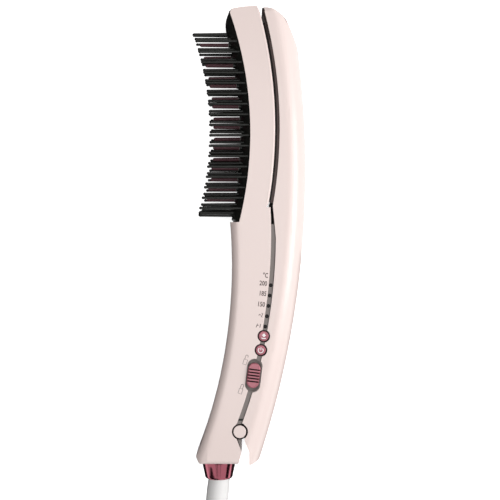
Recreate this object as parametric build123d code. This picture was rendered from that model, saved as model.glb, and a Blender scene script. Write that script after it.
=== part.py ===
from build123d import *
from math import asin, cos, degrees, pi, radians, sin, sqrt, tan
import os

# A corded hair straightening brush that lies on its side: a main arm with a bristle bed on its back,
# and a lever arm hinged to it at the foot, with a pair of heated hair plates between them.
# Lengths are in millimetres. The origin is on the hinge line, in the plane of the side that it lies on.
# +Y runs up to the tip, +X from the main arm to the lever arm, and +Z out of the side with the controls.

# Whole body
body_depth = 38.0
shell_wall = 2.0
fit_gap = 0.1
lever_gap = 0.35
foot_y = -21.5
tip_y = 277.0

# Long faces of the arms: where each one bulges most, and how gently it bends
slit_apex_x = 22.0
slit_apex_y = 198.0
slit_radius = 289.1
strip_apex_x = 20.4
strip_apex_y = 129.0
strip_radius = 355.3
head_width = 15.1
bed_apex_y = 194.5
bed_radius = 236.2
grip_width = 25.7
grip_apex_y = 108.5
grip_radius = 347.4
lever_width = 17.6
back_apex_y = 171.6
back_radius = 614.2
slit_width = 4.0
strip_width = 3.1
grip_rounding = 8.0
lever_rounding = 13.0
main_end_rounding = 3.0
lever_end_rounding = 5.0
lever_tip_cut = 0.5

# Where the stretches along the body begin
bed_foot_y = 136.4
step_y = 146.0
jaw_blend_y = 126.0
plate_foot_y = 151.0
plate_tip_y = 267.0
head_wall = 3.0
tip_wall = 4.5

# Hinge
pin_radius = 2.0
cap_radius = 5.0
cap_ring_width = 0.8
cap_thickness = 1.6
barrel_radius = 4.6
barrel_low = 9.0
barrel_high = 21.5
lug_length = 5.6
running_gap = 0.04
spring_wire = 0.9
spring_radius = 3.2
spring_turns = 4

# Hair plates
plate_thickness = 2.0
plate_margin = 5.0
plate_gap = 0.3
rest_opening = 0.25
heater_thickness = 2.2
carrier_thickness = 6.5

# Bristle bed and heated comb
bed_crown = 6.0
bed_half_width = 17.8
bed_wall = 1.8
bed_skirt = 3.0
bristle_radius = 0.85
bristle_taper = 0.88
bristle_stagger = 0.42
bristle_pitch = 6.83
bristle_count = 17
bristle_first_y = 145.5
outer_row_z = 15.5
inner_row_z = 8.5
foot_row_z = 4.2
tips_reach = 41.2
tips_apex_y = 195.7
tips_radius = 198.1
tooth_radius = 1.35
tooth_row_z = 4.6
tooth_count = 16
tooth_stagger = 0.95
tooth_tip_length = 2.4
tooth_short = 1.4
tooth_seat = 1.2
comb_depth = 0.5
comb_thickness = 2.4
comb_half_width = 9.0
comb_heater_thickness = 2.2

# Controls, set out along the strip
button_radius = 3.3
button_ring_width = 0.6
button_travel = 0.6
mode_button_y = 62.2
power_button_y = 53.1
switch_size = 4.4
lens_radius = 1.2
lens_length = 6.0
lens_pitch = 6.72
lens_first_y = 68.4
lens_count = 5
knob_length = 16.4
knob_width = 8.1
knob_rise = 1.5
knob_y = 36.7
knob_tilt = 7.0
knob_offset = 0.8
knob_ribs = 5
recess_length = 21.5
recess_width = 9.4
recess_depth = 1.8
lock_travel = 2.1

# Circuit board, screws and wires
board_length = 58.0
board_height = 22.0
board_thickness = 1.6
board_y = 88.0
board_offset = 6.0
screw_radius = 1.2
screw_head_radius = 2.2
screw_length = 9.0
wire_radius = 0.8

# Collar, swivel and mains cord
collar_x = -14.2
collar_length = 13.7
collar_top_radius = 11.25
collar_end_radius = 9.2
collar_mouth_radius = 8.1
boot_lean = 6.4
boot_radius = 7.4
boot_length = 48.0
boot_end_radius = 4.2
stem_radius = 3.0
bush_radius = 5.0
cord_diameter = 6.0
coil_mean_diameter = 66.0
coil_layers = 3
coil_centre_x = 14.0
coil_centre_y = -165.0
plug_length = 36.0
plug_width = 35.3
plug_thickness = 13.7
plug_pin_spacing = 19.0
plug_pin_length = 19.0
plug_pin_radius = 2.0

mid_z = body_depth / 2
inner_low = shell_wall
inner_high = body_depth - shell_wall


class Bow:
    """An upright arc that bulges towards +X, as every long face of the arms does."""

    def __init__(self, apex_x, apex_y, radius):
        self.apex_x = apex_x
        self.apex_y = apex_y
        self.radius = radius
        self.centre_x = apex_x - radius

    def x(self, y):
        return self.centre_x + sqrt(self.radius**2 - (y - self.apex_y)**2)

    def point(self, y):
        return (self.x(y), y)

    def moved(self, distance):
        return Bow(self.apex_x + distance, self.apex_y, self.radius + distance)

    def angle(self, y):
        return degrees(asin((y - self.apex_y) / self.radius))

    def edge(self, start_y, end_y):
        return ThreePointArc(self.point(start_y), self.point((start_y + end_y) / 2), self.point(end_y))

    def turned(self, section, start_y, end_y):
        """Sweep an upright section, drawn at its real radius, along the bow."""
        start = self.angle(start_y)
        swept = revolve(Plane.XZ * section, axis=Axis.Z, revolution_arc=self.angle(end_y) - start)
        return Pos(self.centre_x, self.apex_y, 0) * Rot(0, 0, start) * swept

    def bar(self, near, far, low, high, start_y, end_y):
        """A rectangular bar along the bow, between two distances from it and two heights."""
        width = far - near
        section = Pos(self.radius + near + width / 2, (low + high) / 2) * Rectangle(width, high - low)
        return self.turned(section, start_y, end_y)


slit = Bow(slit_apex_x, slit_apex_y, slit_radius)
strip = Bow(strip_apex_x, strip_apex_y, strip_radius)
bed = Bow(slit_apex_x - head_width, bed_apex_y, bed_radius)
grip = Bow(strip_apex_x - grip_width, grip_apex_y, grip_radius)
jaw = slit.moved(slit_width)
back = Bow(slit_apex_x + slit_width + lever_width, back_apex_y, back_radius)
lever_edge = strip.moved(strip_width)
tips = Bow(slit_apex_x - tips_reach, tips_apex_y, tips_radius)


def block(low_corner, high_corner):
    size = [high - low for low, high in zip(low_corner, high_corner)]
    middle = [(high + low) / 2 for low, high in zip(low_corner, high_corner)]
    return Pos(*middle) * Box(*size)


def rod(x, y, low, high, radius):
    return Pos(x, y, (low + high) / 2) * Cylinder(radius, high - low)


def slab(edges, low, high):
    return Pos(0, 0, low) * extrude(make_face(edges), amount=high - low, dir=(0, 0, 1))


def polygon_slab(points, low, high):
    return slab(Polyline(*points, close=True).edges(), low, high)


def capsule(length, width, low, high):
    """A plate with round ends, upright in Y, about the origin."""
    return Pos(0, 0, low) * extrude(SlotOverall(length, width, rotation=90), amount=high - low)


def rounded_ends(start_y, end_y, rounding):
    """A bar along X, a hair taller than the arms, whose rounded corners round off an arm's ends."""
    section = RectangleRounded(end_y - start_y, body_depth + 0.1, rounding)
    placed = Plane.YZ * Pos((start_y + end_y) / 2, mid_z) * section
    return extrude(placed, amount=200, both=True)


def save(name, shape):
    solids = shape.solids()
    export_step(solids[0] if len(solids) == 1 else Compound(children=list(solids)), f"parts/{name}.step")


# Main arm: the shell's outline and hollows

hinge_notch = [(1.2, -13.2), (-1.9, -5.1), (-2.3, cap_radius)]
foot_corner = 6.0


def main_outline():
    outside = grip.moved(-1)
    low_y = foot_y - 1
    corner_x = grip.x(foot_y + foot_corner)
    corner_low = (corner_x + 0.7 * foot_corner, low_y)
    corner_mid = (corner_x + 0.12 * foot_corner, foot_y + 0.3 * foot_corner)
    corner_high = outside.point(foot_y + foot_corner)
    strip_start = strip.point(cap_radius + 0.5)
    tip_corner = (slit.x(tip_y - 3.5) - 0.5, tip_y)
    tip_left = bed.point(tip_y - 2.2)
    return [
        ThreePointArc(corner_high, corner_mid, corner_low),
        Polyline(corner_low, (-1.3, low_y), *hinge_notch, strip_start),
        strip.edge(cap_radius + 0.5, step_y),
        Line(strip.point(step_y), slit.point(step_y)),
        slit.edge(step_y, tip_y - 3.5),
        Line(slit.point(tip_y - 3.5), tip_corner),
        ThreePointArc(tip_corner, ((tip_corner[0] + tip_left[0]) / 2, tip_y - 0.5), tip_left),
        bed.edge(tip_y - 2.2, bed_foot_y),
        Line(bed.point(bed_foot_y), outside.point(bed_foot_y)),
        outside.edge(bed_foot_y, foot_y + foot_corner),
    ]


def grip_round(inset):
    """The main arm's handle is rounded along its outer side."""
    section = RectangleRounded(160, body_depth - 2 * inset, grip_rounding - inset)
    placed = Pos(grip.radius + inset + 80, mid_z) * section
    return grip.turned(placed, foot_y - 2, tip_y + 4)


def hollow_between(left, right, start_y, end_y, low, high):
    return slab([
        left.edge(start_y, end_y),
        Line(left.point(end_y), right.point(end_y)),
        right.edge(end_y, start_y),
        Line(right.point(start_y), left.point(start_y)),
    ], low, high)


def at_knob(shape):
    return Pos(strip.x(knob_y) + strip_width / 2 - knob_offset, knob_y, 0) * Rot(0, 0, -knob_tilt) * shape


def at_button(y, shape):
    return Pos(strip.x(y) + strip_width / 2 - 0.1, y, 0) * shape


def make_main_shell():
    outer = slab(main_outline(), -1, body_depth + 1) & grip_round(0)
    outer = outer & rounded_ends(foot_y, tip_y + 20, main_end_rounding)
    handle = hollow_between(grip.moved(shell_wall), strip.moved(2), cap_radius + 1, bed_foot_y - shell_wall,
                            inner_low, inner_high)
    handle = handle + polygon_slab([
        (grip.x(foot_y + foot_corner) + 4.5, foot_y + shell_wall),
        (-3.0, foot_y + shell_wall),
        (-1.2, -13.6),
        (-4.2, -5.5),
        (-4.2, cap_radius + 1),
        (grip.x(cap_radius + 1) + shell_wall, cap_radius + 1),
        (grip.x(foot_y + foot_corner) + shell_wall, foot_y + foot_corner),
    ], inner_low, inner_high)
    handle = handle & grip_round(shell_wall)
    head = hollow_between(bed.moved(-3), slit.moved(2), bed_foot_y + head_wall, tip_y - tip_wall,
                          inner_low, inner_high)
    wire_way = Pos(lead_way_x, bed_foot_y, heater_lead_z) * Rot(90, 0, 0) * Cylinder(3, 12)
    spigot_hole = Pos(collar_x, foot_y, mid_z) * Rot(90, 0, 0) * Cylinder(bush_radius + 2.5, 12)
    shell = outer - handle - head - wire_way - spigot_hole
    shell = shell - rod(0, 0, -1, body_depth + 1, cap_radius + fit_gap)
    seat_radius = button_radius + button_ring_width + fit_gap
    for y in (mode_button_y, power_button_y):
        shell = shell - at_button(y, rod(0, 0, mid_z, body_depth + 1, seat_radius))
    recess = capsule(recess_length + 2 * fit_gap, recess_width + 2 * fit_gap, mid_z, body_depth + 1)
    shell = shell - at_knob(recess)
    for y in frame_screw_ys:
        shell = shell + frame_boss(y)
    return shell


# Main arm: the inner frame that closes the handle, with the seats of the controls and the hinge lugs

frame_screw_ys = (24.0, 122.0)
boss_radius = 2.8
face_z = body_depth
boss_top_z = body_depth - shell_wall - 0.3
control_low = body_depth - 12.0
ring_foot_z = body_depth - 4.0
button_floor_z = control_low + board_thickness
frame_recess = 0.4
frame_top_y = 135.0
frame_tongue = 2.0
post_radius = 2.2


def frame_boss(y):
    """A screw boss that runs across the handle, from the grip side to the frame."""
    start = grip.x(y) + shell_wall - 0.5
    end = strip.x(y) - frame_tongue
    tube = Pos((start + end) / 2 + 1, y, mid_z) * Rot(0, 90, 0) * Cylinder(boss_radius, end - start + 2)
    frame_side = hollow_between(strip.moved(-frame_tongue), strip.moved(20), y - 9, y + 9, 0, body_depth)
    return tube - frame_side - screw_shank(y)


def screw_shank(y):
    start = strip.x(y) - frame_tongue - screw_length
    end = strip.x(y) + strip_width - lever_gap
    return Pos((start + end) / 2, y, mid_z) * Rot(0, 90, 0) * Cylinder(screw_radius, end - start)


def screw_head(y):
    """A countersunk head whose face lies just under the frame's face."""
    top = min(strip.x(y - screw_head_radius), strip.x(y + screw_head_radius)) + strip_width - lever_gap - 0.3
    height = screw_head_radius - screw_radius
    cone = Cone(screw_radius, screw_head_radius, height)
    return Pos(top - height / 2, y, mid_z) * Rot(0, 90, 0) * cone


def jaw_side(gap):
    """What lies beyond the lever arm's edge, where it blends from the strip into the jaw."""
    low_x = lever_edge.x(jaw_blend_y) - gap
    high_x = jaw.x(step_y + 1.0) - gap
    return polygon_slab([(low_x, jaw_blend_y), (high_x, step_y + 1.0), (high_x + 20, step_y + 1.0),
                         (low_x + 20, jaw_blend_y)], -1, body_depth + 1)


def board_place(shape):
    """Set a piece drawn about the board's middle, with X out of its face, beside the frame."""
    lean = strip.angle(board_y)
    return Pos(strip.x(board_y) - board_offset, board_y, mid_z - 1) * Rot(0, 0, lean) * shape


def make_main_frame():
    far = strip.moved(strip_width - lever_gap)
    frame = hollow_between(strip, far, 4, frame_top_y, frame_recess, body_depth - frame_recess)
    frame = frame - jaw_side(lever_gap)
    tongue_end_y = bed_foot_y - shell_wall - 0.5
    frame = frame + hollow_between(strip.moved(-frame_tongue), strip.moved(1), 8, tongue_end_y,
                                   inner_low + fit_gap, inner_high - fit_gap)
    wedge = polygon_slab([(-1.6, -3.5), (0.8, -3.5), (0.9, -12.6)], frame_recess, body_depth - frame_recess)
    wedge = wedge - slab(main_outline(), 0, body_depth)
    frame = frame + wedge
    for y in (mode_button_y, power_button_y):
        frame = frame + at_button(y, rod(0, 0, control_low, boss_top_z, button_radius + 1.3))
    frame = frame + at_knob(capsule(recess_length, recess_width, control_low + 4, body_depth - fit_gap))
    frame = frame - rod(0, 0, -1, body_depth + 1, cap_radius)
    lug_low = cap_thickness + 1.2
    for low, high in ((lug_low, lug_low + lug_length), (face_z - lug_low - lug_length, face_z - lug_low)):
        frame = frame + rod(0, 0, low, high, cap_radius)
    frame = frame - rod(0, 0, lug_low + lug_length, face_z - lug_low - lug_length, cap_radius + 0.4)
    frame = frame - rod(0, 0, 0, face_z, pin_radius)
    for y in (mode_button_y, power_button_y):
        frame = frame - at_button(y, rod(0, 0, ring_foot_z, face_z + 1, button_radius + button_ring_width))
        frame = frame - at_button(y, rod(0, 0, button_floor_z, ring_foot_z, button_radius + 0.6))
    frame = frame - button_board_shape(0, control_low - 1, button_floor_z)
    for y in lens_ys:
        frame = frame - lens_shape(y)
    pocket_length = recess_length - 0.8
    pocket_width = recess_width - 0.8
    floor_z = body_depth - recess_depth
    frame = frame - at_knob(capsule(pocket_length, pocket_width, floor_z, face_z + 1))
    frame = frame - at_knob(capsule(stem_length + 2 * lock_travel + 0.4, stem_width + 0.6, mid_z, face_z))
    frame = frame - at_knob(capsule(recess_length - 2, recess_width - 2, mid_z + 4, slide_top_z + 0.3))
    window_low = (0, -hook_width / 2 - lock_travel - 0.3, slide_low_z - 0.3)
    window_high = (recess_width, hook_width / 2 + barb_length + lock_travel + 0.3, slide_top_z + 0.3)
    frame = frame - at_knob(block(window_low, window_high))
    for y in frame_screw_ys:
        frame = frame - screw_shank(y) - screw_head(y)
    for side in (-1, 1):
        reach = board_offset + 1.0
        post = Pos(reach / 2 + board_thickness / 2, side * (board_length / 2 - 5), 0) * Rot(0, 90, 0)
        frame = frame + (board_place(post * Cylinder(post_radius, reach)) - far_side_cutter())
    return frame - make_board_screws()


def far_side_cutter():
    """What lies beyond the middle of the frame, so that a post ends inside it."""
    return hollow_between(strip.moved(0.5), strip.moved(30), 40, 130, 0, body_depth)


lens_ys = [lens_first_y + lens_pitch * index for index in range(lens_count)]


def lens_shape(y):
    x = strip.x(y) + (strip_width - lever_gap) / 2
    return rod(x, y, face_z - lens_length, face_z - frame_recess + 0.1, lens_radius)


def button_board_shape(grow, low, high):
    """The button board is as long as both buttons' seats, and a little narrower than they are."""
    upper = at_button(mode_button_y, Pos(0, 0)).position
    lower = at_button(power_button_y, Pos(0, 0)).position
    slot = SlotCenterToCenter((upper - lower).length, 2 * (button_radius + grow))
    angle = degrees(asin((upper.Y - lower.Y) / (upper - lower).length))
    middle = (upper + lower) / 2
    return Pos(middle.X, middle.Y, low) * Rot(0, 0, angle) * extrude(slot, amount=high - low)


def make_button(y):
    flange_top = ring_foot_z - 0.2
    flange_low = flange_top - 1.2
    body = rod(0, 0, flange_top, face_z + 0.3, button_radius)
    body = body + rod(0, 0, flange_low, flange_top, button_radius + 0.5)
    return at_button(y, body)


def make_switch(y):
    body_top = button_floor_z + 2.6
    actuator_top = ring_foot_z - 1.4 - button_travel - 0.15
    half = switch_size / 2
    body = block((-half, -half, button_floor_z), (half, half, body_top))
    return at_button(y, body + rod(0, 0, body_top, actuator_top, 1.2))


def make_button_ring(y):
    outer = rod(0, 0, ring_foot_z, face_z + 0.05, button_radius + button_ring_width)
    return at_button(y, outer - rod(0, 0, mid_z, face_z + 1, button_radius + fit_gap))


# Lock: a knob in the recess, a slide under it and the catch on the lever arm

stem_length = 7.0
stem_width = 2.0
slide_thickness = 1.5
slide_top_z = body_depth - 3.7
slide_low_z = slide_top_z - slide_thickness
hook_width = 2.0
barb_length = 1.2
hook_reach = 8.2
catch_near = 5.9
catch_thickness = 0.7
catch_low = mid_z + 5.0


def make_lock_knob():
    base_z = body_depth - recess_depth + 0.2
    top_z = body_depth + knob_rise
    knob = capsule(knob_length, knob_width, base_z, top_z)
    knob = fillet(knob.edges().filter_by_position(Axis.Z, top_z - 0.01, top_z + 0.01), 0.7)
    rib_pitch = knob_length / (2.0 * knob_ribs)
    for index in range(knob_ribs + 1):
        y = (index - knob_ribs / 2) * rib_pitch
        groove = Pos(0, y, top_z) * Rot(0, 90, 0) * Cylinder(rib_pitch * 0.3, knob_width + 2)
        knob = knob - groove
    stem = capsule(stem_length, stem_width, slide_top_z, base_z)
    return at_knob(knob + stem)


def make_lock_slide():
    plate = capsule(12, 6, slide_low_z, slide_top_z)
    arm = block((2, -hook_width / 2, slide_low_z), (hook_reach, hook_width / 2, slide_top_z))
    barb = block((hook_reach - 1.3, 0, slide_low_z), (hook_reach, hook_width / 2 + barb_length, slide_top_z))
    return at_knob(plate + arm + barb)


def make_lock_catch():
    plate = block((catch_near, -5.5, catch_low), (catch_near + catch_thickness, 6.0, inner_high - 0.3))
    window_low = (catch_near - 1, -hook_width / 2 - lock_travel - 0.5, slide_low_z - 0.5)
    window_high = (catch_near + 2, hook_width / 2 + lock_travel + 0.6, slide_top_z + 0.5)
    return at_knob(plate - block(window_low, window_high))


# Main arm: hair plate, carrier, heaters, comb and bristle bed

def make_plate(bow, near, far):
    return bow.bar(near, far, plate_margin, body_depth - plate_margin, plate_foot_y, plate_tip_y)


def make_heater(bow, near, far):
    return bow.bar(near, far, plate_margin + 6, body_depth - plate_margin - 6,
                   plate_foot_y + 12, plate_tip_y - 12)


def make_pads(bow, near, far):
    pads = Part()
    for y in (plate_foot_y + 5, plate_tip_y - 5):
        for z in (plate_margin + 3, body_depth - plate_margin - 3):
            pads = pads + bow.bar(near, far, z - 2, z + 2, y - 3, y + 3)
    return pads


def make_main_carrier():
    deep = -plate_thickness - heater_thickness - carrier_thickness
    carrier = slit.bar(deep, -0.5, inner_low, inner_high, step_y + 1.5, tip_y - 6)
    well = slit.bar(-plate_thickness - heater_thickness, 0.5, plate_margin - 0.4,
                    body_depth - plate_margin + 0.4, plate_foot_y - 0.4, plate_tip_y + 0.4)
    relief = slit.bar(deep - 1, deep + carrier_thickness - 2.2, inner_low + 2, inner_high - 2,
                      plate_foot_y, plate_tip_y)
    lead_way = Pos(heater_lead_points[-1][0] - 2.0, plate_foot_y, heater_lead_z)
    lead_way = lead_way * Rot(90, 0, 0) * Cylinder(3.2, 26)
    return carrier - well - relief - lead_way


def make_brush_bed():
    """A crowned cover over the comb, with a skirt between the shell's walls and rounded far end."""
    low_y = bed_foot_y + 0.2
    high_y = tip_y - 2.0
    skirt_low_y = bed_foot_y + head_wall + 0.3
    skirt_high_y = tip_y - tip_wall - 0.3
    outer_radius = (bed_half_width**2 + bed_crown**2) / (2 * bed_crown)
    centre = bed.radius - bed_crown + outer_radius
    half_hollow = bed_half_width - 3.2
    arch = Pos(centre, mid_z) * Circle(outer_radius)
    arch = arch & (Pos(bed.radius - bed_crown, mid_z) * Rectangle(2 * bed_crown, 2 * bed_half_width))
    skirt = Pos(bed.radius + bed_skirt / 2 - 0.5, mid_z) * Rectangle(bed_skirt + 1, inner_high - inner_low)
    hollow = Pos(centre, mid_z) * Circle(outer_radius - bed_wall)
    hollow = hollow & (Pos(bed.radius, mid_z) * Rectangle(40, 2 * half_hollow))
    reach = (bed_foot_y - 12, tip_y + 12)
    shell = bed.turned(arch, *reach) & block((-60, low_y, -5), (60, high_y, body_depth + 5))
    between_walls = block((-60, skirt_low_y, -5), (60, skirt_high_y, body_depth + 5))
    shell = shell + (bed.turned(skirt, *reach) & between_walls)
    inside = block((-60, skirt_low_y + bed_wall, -5), (60, skirt_high_y - bed_wall - 3, body_depth + 5))
    shell = shell - (bed.turned(hollow, *reach) & inside)
    edge_x = bed.x(high_y)
    shell = shell - slab([
        ThreePointArc((edge_x + 0.5, high_y), (edge_x - 2.6, high_y - 3.4), (edge_x - 3.4, high_y - 9.0)),
        Polyline((edge_x - 3.4, high_y - 9.0), (edge_x - 30, high_y - 9.0), (edge_x - 30, high_y + 5),
                 (edge_x + 0.5, high_y + 5), (edge_x + 0.5, high_y)),
    ], -5, body_depth + 5)
    shell = shell - [bristle_shape(y, z) for y, z in bristle_places()]
    return shell - [pin(y, z, 0, tooth_radius + fit_gap, 12) for y, z in tooth_places()]


def bed_surface_x(y, z):
    outer_radius = (bed_half_width**2 + bed_crown**2) / (2 * bed_crown)
    drop = outer_radius - sqrt(outer_radius**2 - (z - mid_z)**2)
    return bed.x(y) - bed_crown + drop


def bristle_places():
    places = []
    for index in range(bristle_count):
        y = bristle_first_y + index * bristle_pitch
        for side in (-1, 1):
            places.append((y, mid_z + side * outer_row_z))
            places.append((y + bristle_stagger * bristle_pitch, mid_z + side * inner_row_z))
    places.append((bristle_first_y - 0.55 * bristle_pitch, mid_z))
    places.append((bristle_first_y - 0.28 * bristle_pitch, mid_z - foot_row_z))
    places.append((bristle_first_y - 0.38 * bristle_pitch, mid_z + foot_row_z))
    places.append((bristle_first_y + (bristle_count + 0.1) * bristle_pitch, mid_z))
    return places


def tooth_places():
    places = []
    for index in range(tooth_count):
        y = bristle_first_y + (index + tooth_stagger) * bristle_pitch
        side = 1 if index % 2 else -1
        places.append((y, mid_z + side * tooth_row_z))
    return places


def pin(y, z, shorter, radius, root_depth):
    start = tips.x(y) + shorter
    end = bed_surface_x(y, z) + root_depth
    return Pos((start + end) / 2, y, z) * Rot(0, 90, 0) * Cylinder(radius, end - start)


def bristle_shape(y, z):
    """One bristle, from its ball tip to its root in the bed's wall."""
    start = tips.x(y)
    end = bed_surface_x(y, z) + 1.0
    shaft = Cone(bristle_radius * bristle_taper, bristle_radius, end - start)
    shaft = Pos((start + end) / 2, y, z) * Rot(0, 90, 0) * shaft
    return shaft + Pos(start, y, z) * Sphere(bristle_radius)


def make_bristles():
    return Compound(children=[bristle_shape(y, z) for y, z in bristle_places()])


def tooth_shape(y, z):
    """One tooth of the heated comb, whose root sits in the comb's bar."""
    start = tips.x(y) + tooth_short + tooth_tip_length
    end = bed.x(y) + comb_depth + tooth_seat
    return Pos((start + end) / 2, y, z) * Rot(0, 90, 0) * Cone(tooth_radius * 0.85, tooth_radius, end - start)


def make_heated_teeth():
    return Compound(children=[tooth_shape(y, z) for y, z in tooth_places()])


def make_heated_comb():
    comb = bed.bar(comb_depth, comb_depth + comb_thickness, mid_z - comb_half_width, mid_z + comb_half_width,
                   bristle_first_y - 1, bristle_first_y + tooth_count * bristle_pitch + 2.5)
    return comb - [tooth_shape(y, z) for y, z in tooth_places()]


def make_tooth_tips():
    caps = Part()
    for y, z in tooth_places():
        end = tips.x(y) + tooth_short + tooth_tip_length
        start = end - tooth_tip_length + tooth_radius * 0.85
        cap = Pos((start + end) / 2, y, z) * Rot(0, 90, 0) * Cylinder(tooth_radius * 0.85, end - start)
        caps = caps + (cap + Pos(start, y, z) * Sphere(tooth_radius * 0.85))
    return caps


# Lever arm

def lever_outline():
    tail = [(3.2, -6.2), (6.3, -14.0), (6.1, foot_y - 1.0)]
    outside = back.moved(1)
    shoulder_y = 243.0
    jaw_top = jaw.point(tip_y - lever_tip_cut)
    crown = (jaw_top[0] + lever_tip_cut / 2, tip_y)
    heel_y = foot_y + 5.0
    return [
        Polyline((cap_radius - 2.2, cap_radius), *tail),
        Spline(tail[-1], (9.7, foot_y - 0.1), outside.point(heel_y), tangents=[(1, 0), (0.35, 1)]),
        outside.edge(heel_y, shoulder_y),
        Spline(outside.point(shoulder_y), (back.x(shoulder_y) - 4.6, shoulder_y + 16.5),
               (back.x(shoulder_y) - 11.5, tip_y - 5.0), crown, tangents=[(-0.12, 1), (-1, 0.08)]),
        Line(crown, jaw_top),
        jaw.edge(tip_y - lever_tip_cut, step_y + 1.0),
        Line(jaw.point(step_y + 1.0), lever_edge.point(jaw_blend_y)),
        lever_edge.edge(jaw_blend_y, cap_radius + 0.5),
        Line(lever_edge.point(cap_radius + 0.5), (cap_radius - 2.2, cap_radius)),
    ]


def back_round(inset):
    section = RectangleRounded(160, body_depth - 2 * inset, lever_rounding - inset)
    placed = Pos(back.radius - inset - 80, mid_z) * section
    return back.turned(placed, foot_y - 8, tip_y + 6)


def lever_hollow(inset):
    """The lever shell's inside, drawn in by a further inset."""
    inner = back.moved(-shell_wall)
    wall = shell_wall + inset
    top_y = tip_y - tip_wall + 0.5 - inset
    hollow = slab([
        Polyline((0, top_y), (0, -3), (7.6, -3), (8.4, -12), (8.4, foot_y + 4), inner.point(foot_y + 4)),
        inner.edge(foot_y + 4, 238.0),
        Polyline(inner.point(238.0), (back.x(243.0) - 8.0, 257.0), (back.x(243.0) - 16.0, top_y), (0, top_y)),
    ], wall, body_depth - wall)
    return hollow & back_round(wall)


def make_lever_shell():
    outer = slab(lever_outline(), -1, body_depth + 1) & back_round(0)
    outer = outer & rounded_ends(foot_y - 1.2, tip_y + 0.3, lever_end_rounding)
    shell = outer - lever_hollow(0)
    shell = shell - rod(0, 0, -1, body_depth + 1, cap_radius + lever_gap)
    for y in (mode_button_y, power_button_y):
        notch = rod(0, 0, inner_high - 1, body_depth + 1, button_radius + button_ring_width + lever_gap)
        shell = shell - at_button(y, notch)
    recess = capsule(recess_length + 2 * lever_gap, recess_width + 2 * lever_gap,
                     inner_high - 1, body_depth + 1)
    shell = shell - at_knob(recess)
    for y in lever_screw_ys:
        shell = shell + lever_boss(y)
    return shell


lever_screw_ys = (26.0, 104.0)
cover_inset = 0.4
cover_thickness = 2.0


def lever_boss(y):
    start = lever_edge.x(y) + cover_inset + cover_thickness
    end = back.x(y) - shell_wall + 0.5
    tube = Pos((start + end) / 2 - 1, y, mid_z) * Rot(0, 90, 0) * Cylinder(boss_radius, end - start + 2)
    far_side = lever_edge.moved(cover_inset + cover_thickness)
    cover_side = hollow_between(grip, far_side, y - 9, y + 9, 0, body_depth)
    return tube - cover_side - lever_screw(y)


def lever_screw(y):
    start = lever_edge.x(y) + cover_inset
    end = start + cover_thickness + screw_length
    return Pos((start + end) / 2, y, mid_z) * Rot(0, 90, 0) * Cylinder(screw_radius, end - start)


def lever_screw_head(y):
    height = screw_head_radius - screw_radius
    start = max(lever_edge.x(y - screw_head_radius), lever_edge.x(y + screw_head_radius)) + cover_inset + 0.1
    cone = Cone(screw_head_radius, screw_radius, height)
    return Pos(start + height / 2, y, mid_z) * Rot(0, 90, 0) * cone


def make_lever_cover():
    near = lever_edge.moved(cover_inset)
    far = lever_edge.moved(cover_inset + cover_thickness)
    low = inner_low + fit_gap
    high = inner_high - fit_gap
    cover = hollow_between(near, far, 12, jaw_blend_y - 2, low, high)
    lower = polygon_slab([(cap_radius + 1.0, -2.6), (cap_radius + 3.0, -2.6), far.point(14), near.point(14),
                          (near.x(9), 9)], low + 0.8, high - 0.8)
    cover = cover + lower
    web = polygon_slab([(1.5, -2.8), (cap_radius + 2.5, -2.6), far.point(11), near.point(11), (1.5, 4.0)],
                       barrel_low, barrel_high)
    cover = cover + web + rod(0, 0, barrel_low, barrel_high, barrel_radius)
    cover = cover - rod(0, 0, 0, barrel_low, cap_radius + 0.4)
    cover = cover - rod(0, 0, barrel_high, body_depth, cap_radius + 0.4)
    cover = cover - rod(0, 0, 0, body_depth, pin_radius + running_gap)
    cover = cover - button_board_shape(1.7, control_low - 0.5, body_depth)
    seat_top = control_low + 3.4
    cover = cover - at_knob(capsule(recess_length + 0.9, recess_width + 0.9, seat_top, body_depth))
    cover = cover - at_knob(block((0, -8, seat_top), (hook_reach + 2, 8.5, body_depth)))
    pedestal = at_knob(block((catch_near - 3.5, -5.5, mid_z + 3), (catch_near + 2.2, 6.0, seat_top)))
    cover = cover + (pedestal - hollow_between(grip, near, 20, 60, 0, body_depth))
    catch_slot = block((catch_near, -5.5, catch_low), (catch_near + catch_thickness, 6.0, body_depth))
    cover = cover - at_knob(catch_slot)
    for y in lever_screw_ys:
        cover = cover - lever_screw(y) - lever_screw_head(y)
    return cover


def opened(shape):
    """Turn a piece by the small angle that the lever arm stands open at rest."""
    return Rot(0, 0, -rest_opening) * shape


def make_lever_carrier():
    deep = plate_gap + plate_thickness + heater_thickness + carrier_thickness
    carrier = slit.bar(plate_gap + 1.2, deep, inner_low + 0.1, inner_high - 0.1, step_y + 3.5, tip_y - 6)
    well = slit.bar(0, plate_gap + plate_thickness + heater_thickness, plate_margin - 0.4,
                    body_depth - plate_margin + 0.4, plate_foot_y - 0.4, plate_tip_y + 0.4)
    relief = slit.bar(plate_gap + plate_thickness + heater_thickness + 2.2,
                      plate_gap + plate_thickness + heater_thickness + carrier_thickness + 1,
                      inner_low + 2.3, inner_high - 2.3, plate_foot_y, plate_tip_y)
    return opened(carrier - well - relief) & lever_hollow(0.05)


# Hinge hardware

def make_hinge_pin():
    return rod(0, 0, cap_thickness, body_depth - cap_thickness, pin_radius)


def make_hinge_caps():
    disc = rod(0, 0, 0, cap_thickness, cap_radius - cap_ring_width)
    return disc + Pos(0, 0, body_depth - cap_thickness) * disc


def make_cap_rings():
    ring = rod(0, 0, 0, cap_thickness + 1.2, cap_radius)
    ring = ring - rod(0, 0, 0, cap_thickness, cap_radius - cap_ring_width)
    ring = ring - rod(0, 0, 0, body_depth, pin_radius)
    return ring + Pos(0, 0, body_depth) * Rot(180, 0, 0) * ring


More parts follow.
